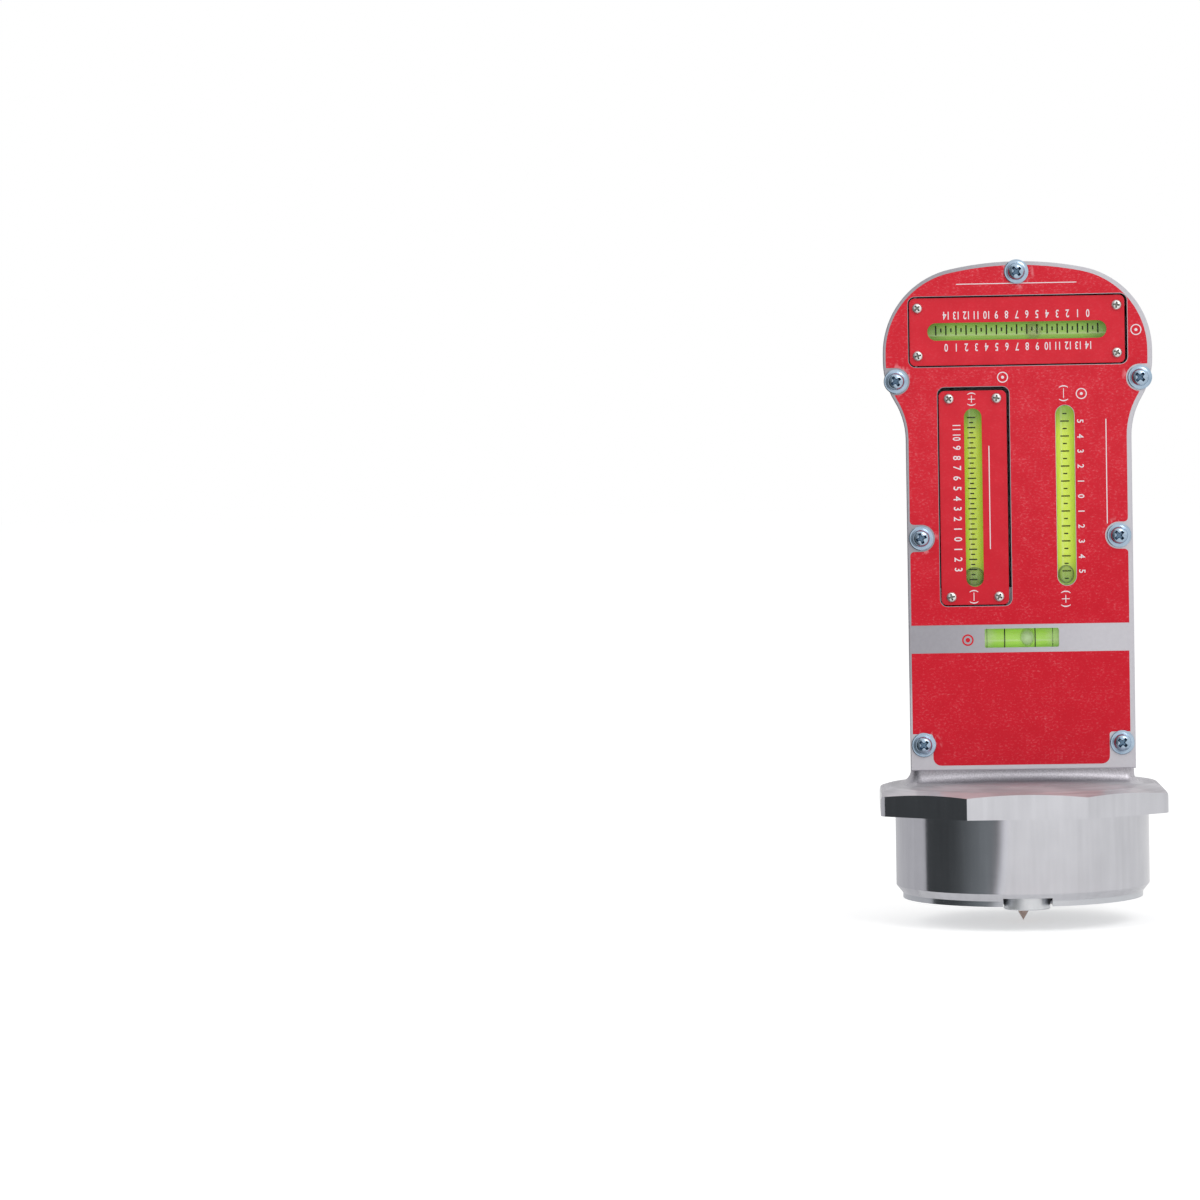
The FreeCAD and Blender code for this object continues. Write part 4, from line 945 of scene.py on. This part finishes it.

# %% [markdown]
# The spirit is a see-through body in the rear of the bore, with a painted glow from emission. It is
# bright along its middle, with a painted highlight strip, greener towards the ends, and darker at
# the sides as painted shade. Castor and camber are yellower than kingpin and level.

# %% Spirit
SPIRIT_WIDE, SPIRIT_DEEP, SPIRIT_BACK, END_GAP = 3.5, 2.0, 0.8, 0.05
PAINTED_HIGHLIGHT = (244, 252, 214)
DYES_AND_SIDE_SHADE = {  # the middle, the ends, and the sides in painted shade
    "castor": ((204, 230, 62), (140, 190, 76), (170, 206, 60)),
    "camber": ((232, 250, 80), (182, 218, 92), (206, 232, 80)),
    "kingpin": ((160, 212, 96), (128, 180, 80), (118, 172, 66)),
    "level": ((186, 238, 88), (204, 238, 152), (152, 212, 80)),
}


def spirit_finish(unit, middle_dye, end_dye, shaded_side):
    """Dyed spirit, greener at the ends, with painted glow, highlight strip and side shade."""
    tube = VIALS[unit]
    low, high = tube["inner"]
    middle, half, bore = (low + high) / 2, (high - low) / 2, tube["bore"]
    across = X if tube["along"] == Z else Z
    # Painted glow: the spirit's colour is also emitted, so it shines though it is no lamp.
    spirit = Finish(f"{unit}_spirit", Roughness=0.12, Specular_IOR_Level=0.3,
                    Emission_Strength=0.30)
    cloud = spirit.noise(2.4 * MM, detail=2)
    lengthways = (spirit.along(tube["along"]) - middle).maths("ABSOLUTE")
    sideways = spirit.along(across) - tube["centre"][across]
    # Painted highlight: a pale strip runs along the bore beside its middle.
    off_highlight = (sideways + bore * 0.28).maths("ABSOLUTE")
    to_end = spirit.ramp(lengthways + cloud * 3, half * 0.72, half * 1.02)
    # Painted shade: the colour darkens towards the sides of the bore.
    to_side = spirit.ramp(sideways.maths("ABSOLUTE"), bore * 0.4, bore * 0.95)
    dye_and_painted_light = spirit.mix(to_side * 0.7, spirit.mix(to_end, middle_dye, end_dye), shaded_side)
    dye_and_painted_light = spirit.mix(spirit.ramp(off_highlight, bore * 0.16, 0.0, 0.0, 0.3), dye_and_painted_light, PAINTED_HIGHLIGHT)
    spirit.set(Base_Color=dye_and_painted_light, Emission_Color=dye_and_painted_light, Alpha=0.88 + cloud * 0.08)
    return spirit


def rod(tube):
    """The spirit of a vial, a flattened rod with rounded ends in the rear of the bore."""
    low, high = tube["inner"][0] + END_GAP, tube["inner"][1] - END_GAP
    centre = tube["centre"].copy()
    centre[tube["along"]] = (low + high) / 2
    centre.y += SPIRIT_BACK
    mesh = bmesh.new()
    turn = Matrix.Rotation(math.pi / 2 if tube["along"] == X else 0, 4, "Y")
    bmesh.ops.create_cone(mesh, cap_ends=True, segments=40, radius1=SPIRIT_WIDE * MM,
                          radius2=SPIRIT_WIDE * MM, depth=(high - low) * MM, matrix=turn)
    caps = [e for e in mesh.edges if any(len(f.verts) > 4 for f in e.link_faces)]
    bmesh.ops.bevel(mesh, geom=caps, offset=0.6 * MM, affect="EDGES", segments=4, profile=0.5,
                    material=-1)
    bmesh.ops.transform(mesh, verts=mesh.verts[:], matrix=Matrix.Translation(centre * MM)
                        @ Matrix.Diagonal((1, SPIRIT_DEEP / SPIRIT_WIDE, 1, 1)))
    return mesh


for unit, tube in VIALS.items():
    finished(f"{unit}_spirit", rod(tube), spirit_finish(unit, *DYES_AND_SIDE_SHADE[unit]), CARRIED_BY[unit])
print("vials filled")

# %% [markdown]
# A bubble is a drop of air as long as the CAD's bubble, whose thin edge shows darker than its
# middle. It rides on its own body, so it slides along the tube. The kingpin bubble is pale, and its
# edge hardly shows.

# %% Bubbles
BUBBLE_DEEP = 3.4
BUBBLES = {  # half width, colours of the middle and the edge, how solid each is
    "castor": (3.4, (134, 172, 88), (70, 118, 54), 0.45, 0.75),
    "camber": (2.75, (164, 196, 104), (74, 124, 54), 0.35, 0.75),
    "kingpin": (3.1, (176, 172, 136), (160, 168, 118), 0.42, 0.16),
    "level": (3.2, (236, 250, 224), (206, 234, 178), 0.72, 0.40),
}
for unit, (wide, inside, rim, cover, rim_cover) in BUBBLES.items():
    low, high = box_of(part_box(f"{unit}_bubble"))
    centre, half = (low + high) / 2, Vector((wide, BUBBLE_DEEP, wide))
    half[VIALS[unit]["along"]] = (high - low)[VIALS[unit]["along"]] / 2
    film = Finish(f"{unit}_bubble_film", Roughness=0.05, Specular_IOR_Level=0.6)
    spot = film.place(scale=[1 / (v * MM) for v in half],
                      shift=[-c / h for c, h in zip(centre, half)])
    x, z = film.part(spot, X), film.part(spot, Z)
    swirl = film.noise(0.8 * MM, detail=2)
    edge = film.ramp((x * x + z * z).maths("SQRT") + swirl * 0.1, 0.70, 0.92)
    film.set(Base_Color=film.mix(edge, inside, rim),
             Alpha=cover + edge * (rim_cover - cover) - swirl * 0.1)
    drop = bmesh.new()
    bmesh.ops.create_uvsphere(drop, u_segments=36, v_segments=24, radius=MM,
                              matrix=Matrix.Translation(centre * MM) @ Matrix.Diagonal((*half, 1)))
    finished(f"{unit}_bubble_drop", drop, film, f"{unit}_bubble_body",
             [f"{unit}_bubble"])
print("bubbles placed")

# %% [markdown]
# The screws are pan heads with a cross recess. The CAD heads are plain stepped domes, so each is
# replaced by a turned profile whose recess is cut with tapered blades and darkened as painted
# shade. Every screw stopped at its own angle when it was tightened. The plates' small screws are
# paler, and their recesses are darkened as painted shade too.

# %% Cross-head screws
HEAD_HIGH, PLATE_HEAD_HIGH, TAPER = 2.0, 1.1, 0.5
# Painted shade: the recess faces get a darker metal than the heads, for the shade inside the cross.
recess_steel = small_metal("recess_steel", (74, 96, 120), (116, 142, 164), 0.25)
worn_recess = small_metal("worn_recess", (104, 102, 96), (164, 162, 154), 0.35)
plate_screw_metal = small_metal("plate_screw_metal", (212, 211, 208), (242, 240, 238), 0.30)


def lathed(profile, steps):
    """The profile of points (radius, height) in mm, spun about Z."""
    mesh = bmesh.new()
    points = [mesh.verts.new((r * MM, 0, z * MM)) for r, z in profile]
    edges = [mesh.edges.new(pair) for pair in zip(points, points[1:])]
    bmesh.ops.spin(mesh, geom=points + edges, cent=(0, 0, 0), axis=(0, 0, 1), angle=2 * math.pi,
                   steps=steps, use_merge=True)
    bmesh.ops.remove_doubles(mesh, verts=mesh.verts[:], dist=0.0005 * MM)
    return mesh


def screw(head, high, shank, length, span, blade):
    """A pan-head screw standing on Z = 0, in mm, its recess marked as the second finish."""
    mesh = lathed([(0, high), (head * 0.45, high * 0.97), (head * 0.7, high * 0.88),
                   (head * 0.88, high * 0.66), (head * 0.97, high * 0.36), (head, high * 0.14),
                   (head * 0.98, 0), (shank, 0), (shank, -length + shank),
                   (shank * 0.3, -length), (0, -length)], 40)
    deep = high * 0.7
    tools = []
    for turn, wide, thick in ((0, span, blade), (math.pi / 2, span, blade),
                              (math.pi / 4, blade * 1.7, blade * 1.7)):
        tool = bmesh.new()
        place = (Matrix.Rotation(turn, 4, "Z")
                 @ Matrix.Translation((0, 0, (high - deep / 2 + 0.3) * MM))
                 @ Matrix.Diagonal((wide * MM, thick * MM, (deep + 0.6) * MM, 1)))
        corners = bmesh.ops.create_cube(tool, size=1, matrix=place)["verts"]
        bmesh.ops.scale(tool, vec=(TAPER, TAPER, 1),
                        verts=[v for v in corners if v.co.z < high * MM * 0.8])
        for face in tool.faces:
            face.material_index = 1
        tools.append(tool)
    return carved(mesh, *tools)


def set_out(pattern, boxes, turns, front, high):
    """Copies of the pattern, high mm tall, facing the viewer in the middle of each box."""
    copies = []
    for box, turn in zip(boxes, turns):
        at = middle_of(box)
        place = facing(at.x, at.z, (front + high) * MM)
        one = pattern.copy()
        bmesh.ops.transform(one, verts=one.verts[:],
                            matrix=place @ Matrix.Rotation(math.radians(turn), 4, "Z"))
        copies.append(one)
    pattern.free()
    return joined(*copies)


def set_screws(name, node, head_high, shank, span, blade, turns, finishes, body):
    """Screws in place of those of a CAD node, their heads' width and length read from it."""
    boxes = solid_boxes(node)
    low, high = boxes[0]
    pattern = screw((high.x - low.x) / 2, head_high, shank, high.y - low.y - head_high, span, blade)
    finished(name, set_out(pattern, boxes, turns, low.y, head_high), finishes, body,
             [node])
    print(name, "has", len(boxes), "screws")


set_screws("panel_screw_set", "panel_screws", HEAD_HIGH, 1.45, 4.5, 1.2,
           (45, 48, 20, 43, 34, 48, 40), [zinc, recess_steel], "gauge_body")
for unit in ("castor", "kingpin"):
    set_screws(f"{unit}_plate_screw_set", f"{unit}_plate_screws", PLATE_HEAD_HIGH, 0.9, 2.9, 0.72,
               (15, 60, 40, 80), [plate_screw_metal, worn_recess], f"{unit}_carrier_set")

# %% [markdown]
# The washers are stamped, so their edge is bevelled, and a shallow seat is pressed into their face
# round the screw's head.

# %% Washers
WASHER_EDGE, WASHER_HOLE, SEAT, SEAT_HIGH = 0.22, 1.6, 3.25, 0.06
low, high = washers[0]
outer, thick = min(high.x - low.x, high.z - low.z) / 2, high.y - low.y
profile = [(WASHER_HOLE, 0), (outer - WASHER_EDGE, 0), (outer, WASHER_EDGE),
           (outer, thick - WASHER_EDGE), (outer - WASHER_EDGE, thick - SEAT_HIGH),
           (SEAT, thick - SEAT_HIGH), (SEAT - 0.1, thick), (WASHER_HOLE, thick), (WASHER_HOLE, 0)]
laid = set_out(lathed(profile, 48), washers, [0] * len(washers), low.y, thick)
finished("panel_washer_set", laid, zinc, "gauge_body", ["panel_washers"])
print("washers laid, radius", round(outer, 2), "mm")

# %% [markdown]
# Three springs are plain tubes in the CAD. A spring is a round wire wound up a helix, so a small
# circle is spun about the axis while it climbs one pitch a turn. The travel of each joint, the
# carrier's far side or the pin, is worked out, but the coil is not made to close with it.

# %% Springs
HINGE_TO_FAR_SIDE, TILT_LIMIT, PIN_TRAVEL = 65.0, math.radians(2.5), 7.2


def coil(node, wire, turns):
    """A coil spring that fills the box of a CAD node. Its axis is Y or Z."""
    low, high = box_of(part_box(node))
    size = high - low
    along = Y if abs(size.x - size.z) < 0.01 else Z
    start = Matrix.Translation(((size.x - wire) / 2 * MM, 0, wire / 2 * MM))
    steps = 28 * turns
    mesh = bmesh.new()
    bmesh.ops.create_circle(mesh, segments=10, radius=wire / 2 * MM, cap_ends=False,
                            matrix=start @ Matrix.Rotation(math.pi / 2, 4, "X"))
    bmesh.ops.spin(mesh, geom=mesh.verts[:] + mesh.edges[:], cent=(0, 0, 0), axis=(0, 0, 1),
                   dvec=(0, 0, (size[along] - wire) * MM / steps), angle=2 * math.pi * turns,
                   steps=steps)
    bmesh.ops.holes_fill(mesh, edges=[e for e in mesh.edges if len(e.link_faces) == 1], sides=10)
    foot = (low + high) / 2
    foot[along] = low[along]
    stand = Matrix.Rotation(-math.pi / 2 if along == Y else 0, 4, "X")
    bmesh.ops.transform(mesh, matrix=Matrix.Translation(foot * MM) @ stand, verts=mesh.verts[:])
    return mesh


tilt_travel = HINGE_TO_FAR_SIDE * math.sin(TILT_LIMIT)
for node, wire, turns, joint, axis, travel in (
        ("castor_carrier_spring", 1.0, 5, "castor_tilt", (0, 1, 0), tilt_travel),
        ("kingpin_carrier_spring", 1.0, 5, "kingpin_tilt", (0, 1, 0), tilt_travel),
        ("pin_spring", 1.4, 9, "centring_pin_slide", (0, 0, 1), PIN_TRAVEL)):
    low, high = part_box(node)
    length = (high - low).dot(Vector(axis)) / MM
    wound = finished(node + "_coil", coil(node, wire, turns), spring_steel, "gauge_body",
                     [node])
    1 - travel / length
    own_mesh(wound)
    print(node, "is", round(length, 2), "mm long and closes by", round(travel, 2), "mm")
